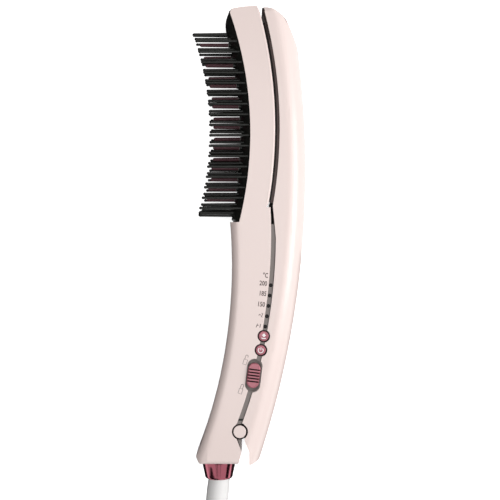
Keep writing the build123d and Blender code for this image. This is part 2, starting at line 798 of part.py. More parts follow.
def make_opening_spring():
    low = barrel_high + 0.6
    height = body_depth - cap_thickness - 1.2 - lug_length - 0.6 - spring_wire - low
    pitch = height / spring_turns
    path = Helix(pitch, height, spring_radius)
    coil = sweep(Plane(path @ 0, z_dir=path % 0) * Circle(spring_wire / 2), path=path)
    return Pos(0, 0, low + spring_wire / 2) * coil


# Collar, swivel and mains cord

boot_top = (collar_x + 0.2, foot_y - collar_length)


def at_boot(shape):
    """Set a body of revolution, drawn upright with +Z up the stem, on the leaning swivel axis."""
    return Pos(boot_top[0], boot_top[1], mid_z) * Rot(0, 0, -boot_lean) * Rot(-90, 0, 0) * shape


def make_collar():
    end_y = foot_y - collar_length
    profile = Polyline((0, foot_y), (collar_top_radius, foot_y), (collar_end_radius, end_y + 1.0),
                       (collar_end_radius - 0.6, end_y), (0, end_y), close=True)
    collar = revolve(make_face(profile), axis=Axis.Y)
    spigot = Pos(0, foot_y + 1.75, 0) * Rot(90, 0, 0) * Cylinder(bush_radius + 2.4, 3.5)
    mouth = Pos(0, end_y + 2.0, 0) * Rot(90, 0, 0) * Cylinder(collar_mouth_radius, 4.2)
    collar = Pos(collar_x, 0, mid_z) * (collar + spigot - mouth)
    return collar - at_boot(rod(0, 0, 0, 40, bush_radius))


def make_swivel_bush():
    return at_boot(rod(0, 0, 4.8, 15.0, bush_radius) - rod(0, 0, 0, 40, stem_radius + running_gap))


def make_swivel_boot():
    neck = 3.2
    outline = [(0, neck), (boot_radius, neck), (boot_radius, -12), (boot_radius - 0.6, -22),
               (boot_end_radius + 0.6, -boot_length + 4), (boot_end_radius, -boot_length), (0, -boot_length)]
    body = revolve(make_face(Plane.XZ * Polyline(*outline, close=True)), axis=Axis.Z)
    for index in range(5):
        z = -24.0 - index * 4.0
        kept = rod(0, 0, z - 0.9, z + 0.9, boot_radius - 1.9 - 0.45 * index)
        body = body - (rod(0, 0, z - 0.9, z + 0.9, 12) - kept)
    body = body + rod(0, 0, neck, 18.0, stem_radius) + rod(0, 0, 15.3, 17.3, bush_radius - 0.4)
    return at_boot(body)


def make_slip_contacts():
    return at_boot(rod(0, 0, 18.0, 20.5, stem_radius - 0.5))


def make_contact_block():
    shape = rod(0, 0, 18.9, 25.0, bush_radius + 1.5) - rod(0, 0, 0, 21.0, bush_radius - 0.2)
    return at_boot(shape)


boot_end_x = boot_top[0] - boot_length * sin(radians(boot_lean))
boot_end_y = boot_top[1] - boot_length * cos(radians(boot_lean))
cord_z = cord_diameter / 2 + 0.1
cord_points = [
    (boot_end_x, boot_end_y, mid_z),
    (-21.134, -98.801, mid_z),
    (-23.6, -113.5, 13.0),
    (-25.1, -131.5, 5.3),
    (-25.2, -149.5, cord_z),
]
tail_points = [
    (53.2, -149.4, cord_z),
    (52.6, -138.5, 5.4),
    (49.0, -128.0, plug_thickness / 2),
    (45.5, -118.0, plug_thickness / 2),
]


def cord_tube(points):
    """Straight runs joined by tangent arcs, each as large as its two runs allow."""
    corners = [Vector(*point) for point in points]
    radii = []
    for before, corner, after in zip(corners, corners[1:], corners[2:]):
        turn = (corner - before).get_angle(after - corner)
        shorter = min((corner - before).length, (after - corner).length)
        radii.append(0.45 * shorter / tan(radians(turn / 2)))
    print("cord radii", [round(radius, 1) for radius in radii])
    path = FilletPolyline(*corners, radius=radii)
    return sweep(Plane(path @ 0, z_dir=path % 0) * Circle(cord_diameter / 2), path=path)


lead_way_x = 11.0
lead_bend = 12.0
lead_spacing = 2.6
heater_lead_z = body_depth - plate_margin - 8.0
mains_lead_points = [(-11.2, -10.1), (-9.5, 12.0), (-2.5, 36.0), (8.6, 58.8)]
heater_lead_points = [(15.2, 117.3), (11.2, 130.0), (11.6, 146.0), (16.4, 162.7)]


def lead(points, z, radius):
    """An insulated lead at one height, bent gently at each of its points."""
    corners = [Vector(x, y, z) for x, y in points]
    path = FilletPolyline(*corners, radius=lead_bend)
    return sweep(Plane(path @ 0, z_dir=path % 0) * Circle(radius), path=path)




def make_mains_leads():
    return lead(mains_lead_points, mid_z - 5, wire_radius) + lead(mains_lead_points, mid_z + 5, wire_radius)


def make_heater_leads():
    lower = lead(heater_lead_points, heater_lead_z - lead_spacing / 2, wire_radius)
    return lower + lead(heater_lead_points, heater_lead_z + lead_spacing / 2, wire_radius)


def make_cord_coil():
    band = coil_layers * cord_diameter
    ring = Cylinder((coil_mean_diameter + band) / 2, band)
    ring = ring - Cylinder((coil_mean_diameter - band) / 2, band + 1)
    return Pos(coil_centre_x, coil_centre_y, band / 2) * ring


def at_plug(shape):
    """Set a piece drawn along +Y from the cord's end into the plug's place on the floor."""
    end = Vector(*tail_points[-1])
    run = end - Vector(*tail_points[-2])
    lean = degrees(asin(run.X / run.length))
    return Pos(end.X, end.Y, end.Z) * Rot(0, 0, -lean) * shape


def make_plug_body():
    half = plug_width / 2
    outline = [(-5, 8), (5, 8), (half - 3, 19), (half, 23), (half, plug_length), (-half, plug_length),
               (-half, 23), (3 - half, 19)]
    body = polygon_slab(outline, -plug_thickness / 2, plug_thickness / 2)
    body = fillet(body.edges(), 1.5)
    relief = Pos(0, 5, 0) * Rot(-90, 0, 0) * Cone(cord_diameter / 2 + 1.0, 5.4, 10)
    return at_plug(relief + body)


def make_plug_pins():
    pins = Part()
    for side in (-1, 1):
        middle = plug_length + plug_pin_length / 2
        shank = Pos(side * plug_pin_spacing / 2, middle, 0) * Rot(90, 0, 0)
        pins = pins + shank * Cylinder(plug_pin_radius, plug_pin_length)
    return at_plug(pins)


# Pieces that fill the stacks between the shells

def make_main_plate():
    return make_plate(slit, -plate_thickness, 0)


def make_main_heater():
    return make_heater(slit, -plate_thickness - heater_thickness, -plate_thickness)


def make_lever_plate():
    return opened(make_plate(slit, plate_gap, plate_gap + plate_thickness))


def make_lever_heater():
    near = plate_gap + plate_thickness
    return opened(make_heater(slit, near, near + heater_thickness))


def make_main_pads():
    return make_pads(slit, -plate_thickness - heater_thickness, -plate_thickness)


def make_lever_pads():
    near = plate_gap + plate_thickness
    return opened(make_pads(slit, near, near + heater_thickness))


def make_comb_heater():
    near = comb_depth + comb_thickness
    return bed.bar(near, near + comb_heater_thickness, mid_z - 5, mid_z + 5,
                   bristle_first_y + 10, bristle_first_y + tooth_count * bristle_pitch - 10)


def make_temperature_sensors():
    sensors = slit.bar(-plate_thickness - 1.6, -plate_thickness, body_depth - plate_margin - 5.5,
                       body_depth - plate_margin - 3.5, 200, 206)
    near = comb_depth + comb_thickness
    return sensors + bed.bar(near, near + 1.6, mid_z + 5.5, mid_z + 7.5, 200, 206)


def make_thermal_fuse():
    near = comb_depth + comb_thickness
    return bed.bar(near, near + 2.0, mid_z - 8.0, mid_z - 5.5, 176, 188)


def make_circuit_board():
    board = Box(board_thickness, board_length, board_height)
    for side in (-1, 1):
        hole = Pos(0, side * (board_length / 2 - 5), 0) * Rot(0, 90, 0) * Cylinder(board_screw_radius, 4)
        board = board - hole
    return board_place(board)


board_screw_radius = 0.8


def make_board_screws():
    screws = Part()
    for side in (-1, 1):
        place = Pos(0, side * (board_length / 2 - 5), 0) * Rot(0, 90, 0)
        shank = Cylinder(board_screw_radius, 5.0)
        head = Pos(0, 0, -board_thickness / 2 - 0.6) * Cylinder(1.6, 1.2)
        screws = screws + place * (Pos(0, 0, 2.5 - board_thickness / 2) * shank + head)
    return board_place(screws)


def make_board_components():
    face = -board_thickness / 2
    tall = 5.5
    parts = block((face - tall, -6, -7), (face, 4, 3))
    parts = parts + block((face - 1.8, 9, -6), (face, 17, 6))
    parts = parts + Pos(face - 3.5, -14, 3) * Rot(0, 90, 0) * Cylinder(4.0, 7.0)
    parts = parts + block((face - 3.0, -18, -9), (face, -9, -5))
    return board_place(parts)


def make_button_board():
    return button_board_shape(-0.05, control_low, button_floor_z)


def make_tact_switches():
    return make_switch(mode_button_y) + make_switch(power_button_y)


def make_mode_button():
    return make_button(mode_button_y)


def make_power_button():
    return make_button(power_button_y)


def make_button_rings():
    return make_button_ring(mode_button_y) + make_button_ring(power_button_y)


def make_indicator_lenses():
    lenses = Part()
    for y in lens_ys:
        lenses = lenses + lens_shape(y)
    return lenses


def make_frame_screws():
    screws = Part()
    for y in frame_screw_ys:
        screws = screws + ((screw_shank(y) + screw_head(y)) & screw_trim(y))
    return screws


def screw_trim(y):
    """Keeps a screw from its point up to the face of its head."""
    top = min(strip.x(y - screw_head_radius), strip.x(y + screw_head_radius)) + strip_width - lever_gap - 0.3
    return block((top - 40, y - 5, mid_z - 5), (top, y + 5, mid_z + 5))


def make_lever_screws():
    screws = Part()
    for y in lever_screw_ys:
        edge_x = max(lever_edge.x(y - screw_head_radius), lever_edge.x(y + screw_head_radius))
        face = edge_x + cover_inset + 0.1
        keep = block((face, y - 5, mid_z - 5), (face + 40, y + 5, mid_z + 5))
        screws = screws + ((lever_screw(y) + lever_screw_head(y)) & keep)
    return screws


os.makedirs("parts", exist_ok=True)
pieces = {
    "main_shell": make_main_shell,
    "main_frame": make_main_frame,
    "main_carrier": make_main_carrier,
    "main_plate": make_main_plate,
    "main_heater": make_main_heater,
    "main_pads": make_main_pads,
    "brush_bed": make_brush_bed,
    "bristles": make_bristles,
    "heated_comb": make_heated_comb,
    "heated_teeth": make_heated_teeth,
    "tooth_tips": make_tooth_tips,
    "comb_heater": make_comb_heater,
    "temperature_sensors": make_temperature_sensors,
    "thermal_fuse": make_thermal_fuse,
    "lever_shell": make_lever_shell,
    "lever_cover": make_lever_cover,
    "lever_carrier": make_lever_carrier,
    "lever_plate": make_lever_plate,
    "lever_heater": make_lever_heater,
    "lever_pads": make_lever_pads,
    "lever_screws": make_lever_screws,
    "hinge_pin": make_hinge_pin,
    "hinge_caps": make_hinge_caps,
    "cap_rings": make_cap_rings,
    "opening_spring": make_opening_spring,
    "frame_screws": make_frame_screws,
    "circuit_board": make_circuit_board,
    "board_components": make_board_components,
    "board_screws": make_board_screws,
    "mains_leads": make_mains_leads,
    "heater_leads": make_heater_leads,
    "button_board": make_button_board,
    "tact_switches": make_tact_switches,
    "power_button": make_power_button,
    "mode_button": make_mode_button,
    "button_rings": make_button_rings,
    "indicator_lenses": make_indicator_lenses,
    "lock_knob": make_lock_knob,
    "lock_slide": make_lock_slide,
    "lock_catch": make_lock_catch,
    "collar_ring": make_collar,
    "swivel_bush": make_swivel_bush,
    "swivel_boot": make_swivel_boot,
    "slip_contacts": make_slip_contacts,
    "contact_block": make_contact_block,
    "cord_coil": make_cord_coil,
    "plug_body": make_plug_body,
    "plug_pins": make_plug_pins,
}
for name, make in pieces.items():
    save(name, make())
save("power_cord", cord_tube(cord_points) - make_cord_coil())
save("cord_tail", cord_tube(tail_points) - make_cord_coil())
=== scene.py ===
from math import asin, copysign, cos, hypot, pi, radians, sin, sqrt, tau

import bmesh
import bpy
from mathutils import Matrix, Vector


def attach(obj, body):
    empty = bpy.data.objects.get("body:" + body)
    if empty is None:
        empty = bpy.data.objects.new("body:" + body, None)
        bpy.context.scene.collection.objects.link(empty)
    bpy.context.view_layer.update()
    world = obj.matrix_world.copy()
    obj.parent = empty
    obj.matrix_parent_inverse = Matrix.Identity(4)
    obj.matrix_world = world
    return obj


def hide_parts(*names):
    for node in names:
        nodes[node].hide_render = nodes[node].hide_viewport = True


# Looks of a hair straightening brush that lies on its side on a white table.
# Sizes are in mm, as in the CAD source, and spot() turns them into metres.
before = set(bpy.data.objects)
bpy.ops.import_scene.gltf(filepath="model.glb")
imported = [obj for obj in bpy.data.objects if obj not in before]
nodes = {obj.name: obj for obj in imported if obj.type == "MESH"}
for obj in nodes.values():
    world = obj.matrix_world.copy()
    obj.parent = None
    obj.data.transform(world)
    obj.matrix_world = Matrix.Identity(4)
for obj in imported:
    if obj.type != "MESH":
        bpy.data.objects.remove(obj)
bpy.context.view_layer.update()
mm = 0.001
print("frame loaded:", len(nodes), "nodes")


def spot(x, y, z):
    return Vector((x * mm, y * mm, z * mm))


# The arms follow bows, upright arcs that bulge towards +X: apex x, apex y, radius
bows = {
    "slit": (22.0, 198.0, 289.1),
    "strip": (20.4, 129.0, 355.3),
    "bed": (6.9, 194.5, 236.2),
    "grip": (-5.3, 108.5, 347.4),
    "back": (43.6, 171.6, 614.2),
    "tips": (-19.2, 195.7, 198.1),
}
bodyDepth = 38.0
midDepth = bodyDepth / 2


def bowX(name, y):
    apexX, apexY, radius = bows[name]
    return apexX - radius + sqrt(radius ** 2 - (y - apexY) ** 2)


def held(value, low=0.0, high=1.0):
    return min(max(value, low), high)


def mixed(one, two, part):
    return one + (two - one) * part


def stations(start, end, count):
    return [mixed(start, end, i / count) for i in range(count + 1)]


# Mesh helpers

def addObject(name, mesh):
    piece = bpy.data.objects.new(name, mesh)
    bpy.context.scene.collection.objects.link(piece)
    return piece


def settled(piece):
    evaluated = piece.evaluated_get(bpy.context.evaluated_depsgraph_get())
    mesh = bpy.data.meshes.new_from_object(evaluated)
    mesh.name = piece.name
    piece.modifiers.clear()
    piece.data = mesh
    return piece


def shadeSmooth(mesh, angle):
    mesh.shade_smooth()
    mesh.set_sharp_from_angle(angle=radians(angle))


def weighNormals(piece):
    even = piece.modifiers.new("evenNormals", "WEIGHTED_NORMAL")
    even.keep_sharp = True
    even.weight = 80
    return settled(piece)


def openMesh(mesh):
    shape = bmesh.new()
    shape.from_mesh(mesh)
    return shape


def closeShape(shape, mesh):
    shape.to_mesh(mesh)
    shape.free()
    return mesh


def meshPiece(name, shape, finish, angle=35.0):
    bmesh.ops.recalc_face_normals(shape, faces=shape.faces)
    mesh = closeShape(shape, bpy.data.meshes.new(name))
    mesh.materials.append(finish)
    shadeSmooth(mesh, angle)
    return addObject(name, mesh)


def bridge(shape, near, far):
    # Faces between two closed loops, either of which may be a single point
    count = max(len(near), len(far))
    for i in range(count):
        j = (i + 1) % count
        corners = (near[i % len(near)], near[j % len(near)], far[j % len(far)], far[i % len(far)])
        shape.faces.new(list(dict.fromkeys(corners)))


def ringsInto(shape, rings):
    loops = [[shape.verts.new(point) for point in ring] for ring in rings]
    for near, far in zip(loops, loops[1:]):
        bridge(shape, near, far)
    shape.faces.new(loops[0][::-1])
    shape.faces.new(loops[-1])


def latheInto(shape, profile, place, steps, ring=False):
    # The profile is (radius, height) along local +Z, from end to end, or closed off the axis for a ring
    loops = []
    for radius, height in profile:
        turns = [tau * i / steps for i in range(steps if radius else 1)]
        loops.append([shape.verts.new(place @ spot(radius * cos(turn), radius * sin(turn), height))
                      for turn in turns])
    if ring:
        loops.append(loops[0])
    for near, far in zip(loops, loops[1:]):
        bridge(shape, near, far)


def finishPiece(piece, body, slotName, *replaced):
    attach(piece, body)
    if replaced:
        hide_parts(*replaced)
    return piece


def slotPiece(name, shape, body, slotName, *replaced, angle=35.0):
    return finishPiece(meshPiece(name, shape, finishes[slotName], angle), body, slotName, *replaced)


def lathedPiece(name, profile, place, steps, body, slotName, *replaced):
    shape = bmesh.new()
    latheInto(shape, profile, place, steps)
    return slotPiece(name, shape, body, slotName, *replaced)


def roundUpright(shape, x, y, radius):
    # Rounds the upright edges that stand near (x, y)
    found = []
    for line in shape.edges:
        one, two = (vertex.co for vertex in line.verts)
        upright = hypot(one.x - two.x, one.y - two.y) < 1e-5 and abs(one.z - two.z) > 0.02
        if upright and hypot(one.x / mm - x, one.y / mm - y) < 2.0:
            found.append(line)
    print("upright edges rounded:", len(found))
    if found:
        bmesh.ops.bevel(shape, geom=found, offset=radius * mm, segments=8, profile=0.5, affect="EDGES",
                        clamp_overlap=True)


edgeLook = {"merge": 0.002, "flat": 0.3, "segments": 3, "limit": 38.0, "smooth": 45.0}


def softened(node, name, body, slotName, edge, corner):
    # A copy of a CAD node with its loose triangles merged and its sharp edges rounded
    mesh = nodes[node].data.copy()
    mesh.name = name
    if mesh.attributes.get("custom_normal"):
        mesh.attributes.remove(mesh.attributes["custom_normal"])
    shape = openMesh(mesh)
    bmesh.ops.remove_doubles(shape, verts=shape.verts, dist=edgeLook["merge"] * mm)
    bmesh.ops.dissolve_limit(shape, angle_limit=radians(edgeLook["flat"]), verts=shape.verts,
                             edges=shape.edges)
    if corner:
        roundUpright(shape, *corner)
    closeShape(shape, mesh)
    mesh.materials.clear()
    mesh.materials.append(finishes[slotName])
    piece = addObject(name, mesh)
    rounding = piece.modifiers.new("roundedEdges", "BEVEL")
    rounding.limit_method = "ANGLE"
    rounding.angle_limit = radians(edgeLook["limit"])
    rounding.width = edge * mm
    rounding.segments = edgeLook["segments"]
    rounding.use_clamp_overlap = True
    rounding.miter_outer = "MITER_ARC"
    settled(piece)
    shadeSmooth(piece.data, edgeLook["smooth"])
    weighNormals(piece)
    return finishPiece(piece, body, slotName, node)


# Camera: straight above the middle of the photograph's frame, 500 by 500 px

cameraLook = {"x": 6.66, "y": 118.2, "z": 638.0, "lens": 66.46, "sensor": 36.0}
cameraData = bpy.data.cameras.new("photoCamera")
cameraData.lens = cameraLook["lens"]
cameraData.sensor_width = cameraLook["sensor"]
cameraData.clip_start = 0.01
cameraData.clip_end = 20.0
camera = addObject("photoCamera", cameraData)
camera.location = spot(cameraLook["x"], cameraLook["y"], cameraLook["z"])
bpy.context.scene.camera = camera
bpy.context.scene.view_settings.view_transform = "Standard"
print("camera placed")


# Node helpers

def feed(tree, socket, value):
    # Another node's socket is linked, any other value is set
    if isinstance(value, bpy.types.NodeSocket):
        tree.links.new(value, socket)
    else:
        socket.default_value = value


def addNode(tree, kind, settings=None, **values):
    node = tree.nodes.new(kind)
    for name, value in (settings or {}).items():
        setattr(node, name, value)
    for name, value in values.items():
        feed(tree, node.inputs[name.replace("_", " ")], value)
    return node


def mixColours(tree, factor, first, second):
    mix = addNode(tree, "ShaderNodeMix", {"data_type": "RGBA"})
    for index, value in ((0, factor), (6, first), (7, second)):
        feed(tree, mix.inputs[index], value)
    return mix.outputs[2]


def calculate(tree, operation, first, second):
    step = addNode(tree, "ShaderNodeMath", {"operation": operation})
    feed(tree, step.inputs[0], first)
    feed(tree, step.inputs[1], second)
    return step.outputs[0]


def rgb(colour):
    return (*colour, 1.0)


def newTree(name, kind, inputs, outputs):
    # A node group with its sockets, whose values are set where the group is used
    tree = bpy.data.node_groups.new(name, kind)
    for way, sockets in (("INPUT", inputs), ("OUTPUT", outputs)):
        for label, socketKind in sockets.items():
            tree.interface.new_socket(label, in_out=way, socket_type="NodeSocket" + socketKind)
    return tree, tree.nodes.new("NodeGroupInput").outputs


def surfaceGroup(name, extra):
    inputs = {"Colour": "Color", "Second Colour": "Color", "Share": "Float", "Roughness": "Float",
              "Gloss Change": "Float", **extra}
    outputs = {"Colour": "Color", "Roughness": "Float", "Height": "Float"}
    group, given = newTree(name, "ShaderNodeTree", inputs, outputs)
    return group, given, addNode(group, "ShaderNodeTexCoord").outputs["Object"]


def closeSurface(group, given, pattern, height):
    # The pattern mixes in the second colour and makes the gloss uneven
    result = group.nodes.new("NodeGroupOutput").inputs
    amount = calculate(group, "MULTIPLY", pattern, given["Share"])
    feed(group, result["Colour"], mixColours(group, amount, given["Colour"], given["Second Colour"]))
    centred = calculate(group, "SUBTRACT", pattern, 0.5)
    uneven = calculate(group, "MULTIPLY", centred, given["Gloss Change"])
    feed(group, result["Roughness"], calculate(group, "ADD", given["Roughness"], uneven))
    feed(group, result["Height"], height)


# Moulded plastic: a broad drift of tone, a fine spark-eroded grain and a slightly uneven gloss
mouldGrain, given, place = surfaceGroup("mouldGrain", {"Grain Scale": "Float", "Drift Scale": "Float"})
grain = addNode(mouldGrain, "ShaderNodeTexNoise", Vector=place, Scale=given["Grain Scale"], Detail=2.0)
drift = addNode(mouldGrain, "ShaderNodeTexNoise", Vector=place, Scale=given["Drift Scale"], Detail=3.0)
closeSurface(mouldGrain, given, drift.outputs["Fac"], grain.outputs["Fac"])

# Turned or drawn metal: fine lines along one axis, which is set by a stretched pattern
brushedLines, given, place = surfaceGroup("brushedLines", {"Stretch": "Vector"})
long = addNode(brushedLines, "ShaderNodeMapping", Vector=place, Scale=given["Stretch"])
lines = addNode(brushedLines, "ShaderNodeTexNoise", Vector=long.outputs["Vector"], Scale=1.0, Detail=3.0)
closeSurface(brushedLines, given, lines.outputs["Fac"], lines.outputs["Fac"])


def newFinish(name, colour, second, roughness, drift=0.3, driftScale=30.0, grain=2600.0, stretch=None,
              relief=0.02, metallic=0.0, coat=0.0, coatRoughness=0.1, sheen=0.0, specular=0.5):
    # drift is the second colour's share, relief is in mm, and stretch makes brushed metal
    finish = bpy.data.materials.new(name)
    finish.use_nodes = True
    tree = finish.node_tree
    group = tree.nodes.new("ShaderNodeGroup")
    values = {"Colour": rgb(colour), "Second Colour": rgb(second), "Share": drift, "Roughness": roughness,
              "Gloss Change": 0.08}
    if stretch:
        group.node_tree = brushedLines
        values["Stretch"] = stretch
    else:
        group.node_tree = mouldGrain
        values["Grain Scale"] = grain
        values["Drift Scale"] = driftScale
    for label, value in values.items():
        group.inputs[label].default_value = value
    bump = addNode(tree, "ShaderNodeBump", Height=group.outputs["Height"], Strength=0.2, Distance=relief * mm)
    shaderValues = {"Base Color": group.outputs["Colour"], "Roughness": group.outputs["Roughness"],
                    "Normal": bump.outputs["Normal"], "Metallic": metallic, "Coat Weight": coat,
                    "Coat Roughness": coatRoughness, "Sheen Weight": sheen, "Specular IOR Level": specular}
    for label, value in shaderValues.items():
        feed(tree, tree.nodes["Principled BSDF"].inputs[label], value)
    return finish


finishes = {}


def slotFinish(slotName, *look, **extra):
    finishes[slotName] = newFinish(slotName + "Finish", *look, **extra)


# One finish for each material slot of the record
slotFinish("shell", (0.82, 0.688, 0.651), (0.80, 0.665, 0.63), 0.36, drift=0.5, coat=0.2, coatRoughness=0.12,
           relief=0.01)
slotFinish("strip", (0.215, 0.187, 0.175), (0.18, 0.155, 0.147), 0.55, grain=1800.0, relief=0.03)
slotFinish("carrier", (0.12, 0.09, 0.085), (0.085, 0.062, 0.058), 0.5, specular=0.15)
slotFinish("hair_plate", (0.022, 0.012, 0.011), (0.014, 0.008, 0.008), 0.3, stretch=(900.0, 60.0, 900.0),
           specular=0.2, relief=0.006)
slotFinish("heater", (0.75, 0.74, 0.70), (0.62, 0.60, 0.56), 0.7, grain=1500.0, relief=0.05)
slotFinish("silicone", (0.45, 0.14, 0.10), (0.38, 0.11, 0.08), 0.6)
slotFinish("bristle_black", (0.012, 0.0125, 0.0105), (0.007, 0.007, 0.006), 0.34, grain=2200.0, relief=0.015,
           specular=0.35)
slotFinish("comb_coating", (0.118, 0.048, 0.058), (0.08, 0.03, 0.037), 0.4, grain=3000.0, relief=0.02,
           specular=0.3)
slotFinish("steel", (0.6, 0.6, 0.6), (0.42, 0.42, 0.43), 0.3, metallic=1.0, stretch=(3000.0, 3000.0, 120.0),
           relief=0.01)
slotFinish("ring_dark", (0.011, 0.006, 0.0065), (0.007, 0.004, 0.004), 0.5, specular=0.1)
slotFinish("board", (0.03, 0.16, 0.07), (0.02, 0.11, 0.05), 0.4, grain=900.0, relief=0.05)
slotFinish("component", (0.03, 0.03, 0.035), (0.05, 0.05, 0.055), 0.35)
slotFinish("lead_sleeve", (0.6, 0.6, 0.58), (0.5, 0.5, 0.48), 0.6)
slotFinish("rose_button", (0.43, 0.145, 0.178), (0.36, 0.115, 0.145), 0.38, metallic=0.35, coat=0.2,
           grain=4200.0, relief=0.015)
slotFinish("lens", (0.009, 0.007, 0.007), (0.014, 0.012, 0.012), 0.3, specular=0.2)
slotFinish("rose_metal", (0.38, 0.112, 0.145), (0.30, 0.085, 0.11), 0.13, metallic=1.0,
           stretch=(300.0, 7000.0, 300.0), relief=0.006)
slotFinish("boot", (0.80, 0.79, 0.78), (0.74, 0.73, 0.72), 0.55, grain=1500.0, relief=0.04, sheen=0.1)
slotFinish("contact", (0.7, 0.52, 0.25), (0.55, 0.4, 0.18), 0.25, metallic=1.0,
           stretch=(3000.0, 120.0, 3000.0))
slotFinish("cord", (0.80, 0.79, 0.78), (0.73, 0.72, 0.71), 0.5, grain=1700.0, relief=0.04, sheen=0.1)
slotFinish("plug_metal", (0.42, 0.41, 0.40), (0.32, 0.31, 0.30), 0.24, metallic=1.0,
           stretch=(3000.0, 3000.0, 200.0))
printWhite = newFinish("printWhite", (0.92, 0.90, 0.90), (0.86, 0.83, 0.83), 0.45, grain=5000.0, relief=0.005)
printBrown = newFinish("printBrown", (0.05, 0.03, 0.03), (0.13, 0.085, 0.08), 0.5, drift=0.8,
                       driftScale=1400.0, relief=0.005)
markGrey = newFinish("markGrey", (0.22, 0.17, 0.165), (0.32, 0.26, 0.25), 0.5, relief=0.005)
print("finishes made:", len(finishes) + 3)


# The CAD nodes that keep their own meshes take the finish of their slot

for name, node in nodes.items():
    for holder in node.material_slots:
        slotName = holder.material.name.split(".")[0] if holder.material else ""
        if slotName in finishes:
            holder.material = finishes[slotName]
print("slots on CAD nodes:", sorted({holder.material.name for node in nodes.values()
                                      for holder in node.material_slots if holder.material}))


# Table, light and dark cards

tableLook = {"colour": 0.92, "bounce": 0.12, "lift": 0.74, "size": 4.0, "gap": -0.3}


def emptyTree(owner):
    owner.use_nodes = True
    owner.node_tree.nodes.clear()
    return owner.node_tree


def lookingRays(tree):
    # 1 for rays that look at something, 0 for rays that gather light
    path = tree.nodes.new("ShaderNodeLightPath").outputs
    seen = calculate(tree, "MAXIMUM", path["Is Camera Ray"], path["Is Glossy Ray"])
    return calculate(tree, "MAXIMUM", seen, path["Is Transmission Ray"])


def tableFinish():
    finish = bpy.data.materials.new("tableWhite")
    tree = emptyTree(finish)
    seen = lookingRays(tree)
    plain = rgb((tableLook["bounce"],) * 3)
    white = rgb((tableLook["colour"],) * 3)
    matt = addNode(tree, "ShaderNodeBsdfDiffuse", Color=mixColours(tree, seen, plain, white))
    lift = addNode(tree, "ShaderNodeEmission", Strength=calculate(tree, "MULTIPLY", seen, tableLook["lift"]))
    both = tree.nodes.new("ShaderNodeAddShader")
    feed(tree, both.inputs[0], matt.outputs[0])
    feed(tree, both.inputs[1], lift.outputs[0])
    addNode(tree, "ShaderNodeOutputMaterial", Surface=both.outputs[0])
    return finish


def flatCard(name, corners, finish):
    shape = bmesh.new()
    shape.faces.new([shape.verts.new(spot(*corner)) for corner in corners])
    mesh = closeShape(shape, bpy.data.meshes.new(name))
    mesh.materials.append(finish)
    card = addObject(name, mesh)
    return card


def standing(oneX, oneY, twoX, twoY, top):
    return [(oneX, oneY, 0), (twoX, twoY, 0), (twoX, twoY, top), (oneX, oneY, top)]


def lying(lowX, lowY, highX, highY, level=0.05):
    return [(lowX, lowY, level), (highX, lowY, level), (highX, highY, level), (lowX, highY, level)]


def hanging(lowX, lowY, highX, highY):
    level = 1500
    return [(lowX, lowY, level), (lowX, highY, level), (highX, highY, level), (highX, lowY, level)]


half = tableLook["size"] * 1000
flatCard("tableTop", lying(-half, -half, half, half, tableLook["gap"]), tableFinish())
cardBlack = newFinish("cardBlack", (0.01, 0.01, 0.01), (0.02, 0.02, 0.02), 0.9)
# Black cards that only reflections see: a studio's dark ceiling and dark cloths on either side
cards = {
    "leftCard": standing(-330, -60, -330, 550, 620),
    "collarCard": standing(420, -420, 420, -60, 235),
    "ceilingCard": hanging(-800, -700, 800, 900),
    "gripCloth": lying(-420, -16, -27, 134),
    "collarLeftCloth": lying(-82, -75, -22, -17),
    "collarRightCloth": lying(-6, -75, 27, -17),
    "bristleCloth": lying(-420, 134, 0, 300),
    "leverCloth": [(20, -60, 0.05), (70, -60, 0.05), (96, 115, 0.05), (46, 115, 0.05)],
    "tipCard": standing(-800, 700, 150, 700, 620),
    "footCard": standing(-800, -520, -40, -520, 500),
}
# Grey strips high beyond the foot, for the soft streaks of the collar
cardGrey = bpy.data.materials.new("cardGrey")
tree = emptyTree(cardGrey)
glow = addNode(tree, "ShaderNodeEmission", Color=rgb((1.0, 1.0, 1.0)), Strength=0.5)
addNode(tree, "ShaderNodeOutputMaterial", Surface=glow.outputs[0])
streaks = {"streakLeft": (-620, -420), "streakMiddle": (-330, -110), "streakRight": (250, 420)}
for name, (near, far) in streaks.items():
    cards[name] = hanging(near, -1300, far, -705)
for name, corners in cards.items():
    card = flatCard(name, corners, cardGrey if name in streaks else cardBlack)
    card.visible_camera = False
    card.visible_shadow = False
    card.visible_diffuse = False
    card.visible_transmission = False

lamps = {
    "keyLamp": {"at": (1050, 150, 560), "aim": (10, 120, 10), "size": 0.55, "power": 7.0},
    "fillLamp": {"at": (-120, 160, 1240), "aim": (0, 120, 10), "size": 0.7, "power": 3.9},
}
for name, look in lamps.items():
    light = bpy.data.lights.new(name, "AREA")
    light.shape = "SQUARE"
    light.size = look["size"]
    light.energy = look["power"]
    lamp = addObject(name, light)
    lamp.location = spot(*look["at"])
    lamp.rotation_euler = (spot(*look["aim"]) - lamp.location).to_track_quat("-Z", "Y").to_euler()

# The room is dark on the left and bright on the right, and white where it is seen
roomLook = {"left": 0.14, "right": 0.9, "from": -0.9, "to": 0.9}
room = bpy.data.worlds.new("paleRoom")
bpy.context.scene.world = room
tree = emptyTree(room)
direction = addNode(tree, "ShaderNodeTexCoord").outputs["Generated"]
sideways = addNode(tree, "ShaderNodeSeparateXYZ", Vector=direction).outputs["X"]
fade = addNode(tree, "ShaderNodeMapRange", Value=sideways, From_Min=roomLook["from"], From_Max=roomLook["to"],
               To_Min=roomLook["left"], To_Max=roomLook["right"])
strength = calculate(tree, "MAXIMUM", lookingRays(tree), fade.outputs["Result"])
glow = addNode(tree, "ShaderNodeBackground", Color=rgb((1.0, 1.0, 1.0)), Strength=strength)
addNode(tree, "ShaderNodeOutputWorld", Surface=glow.outputs[0])
print("table, lamps and room made")


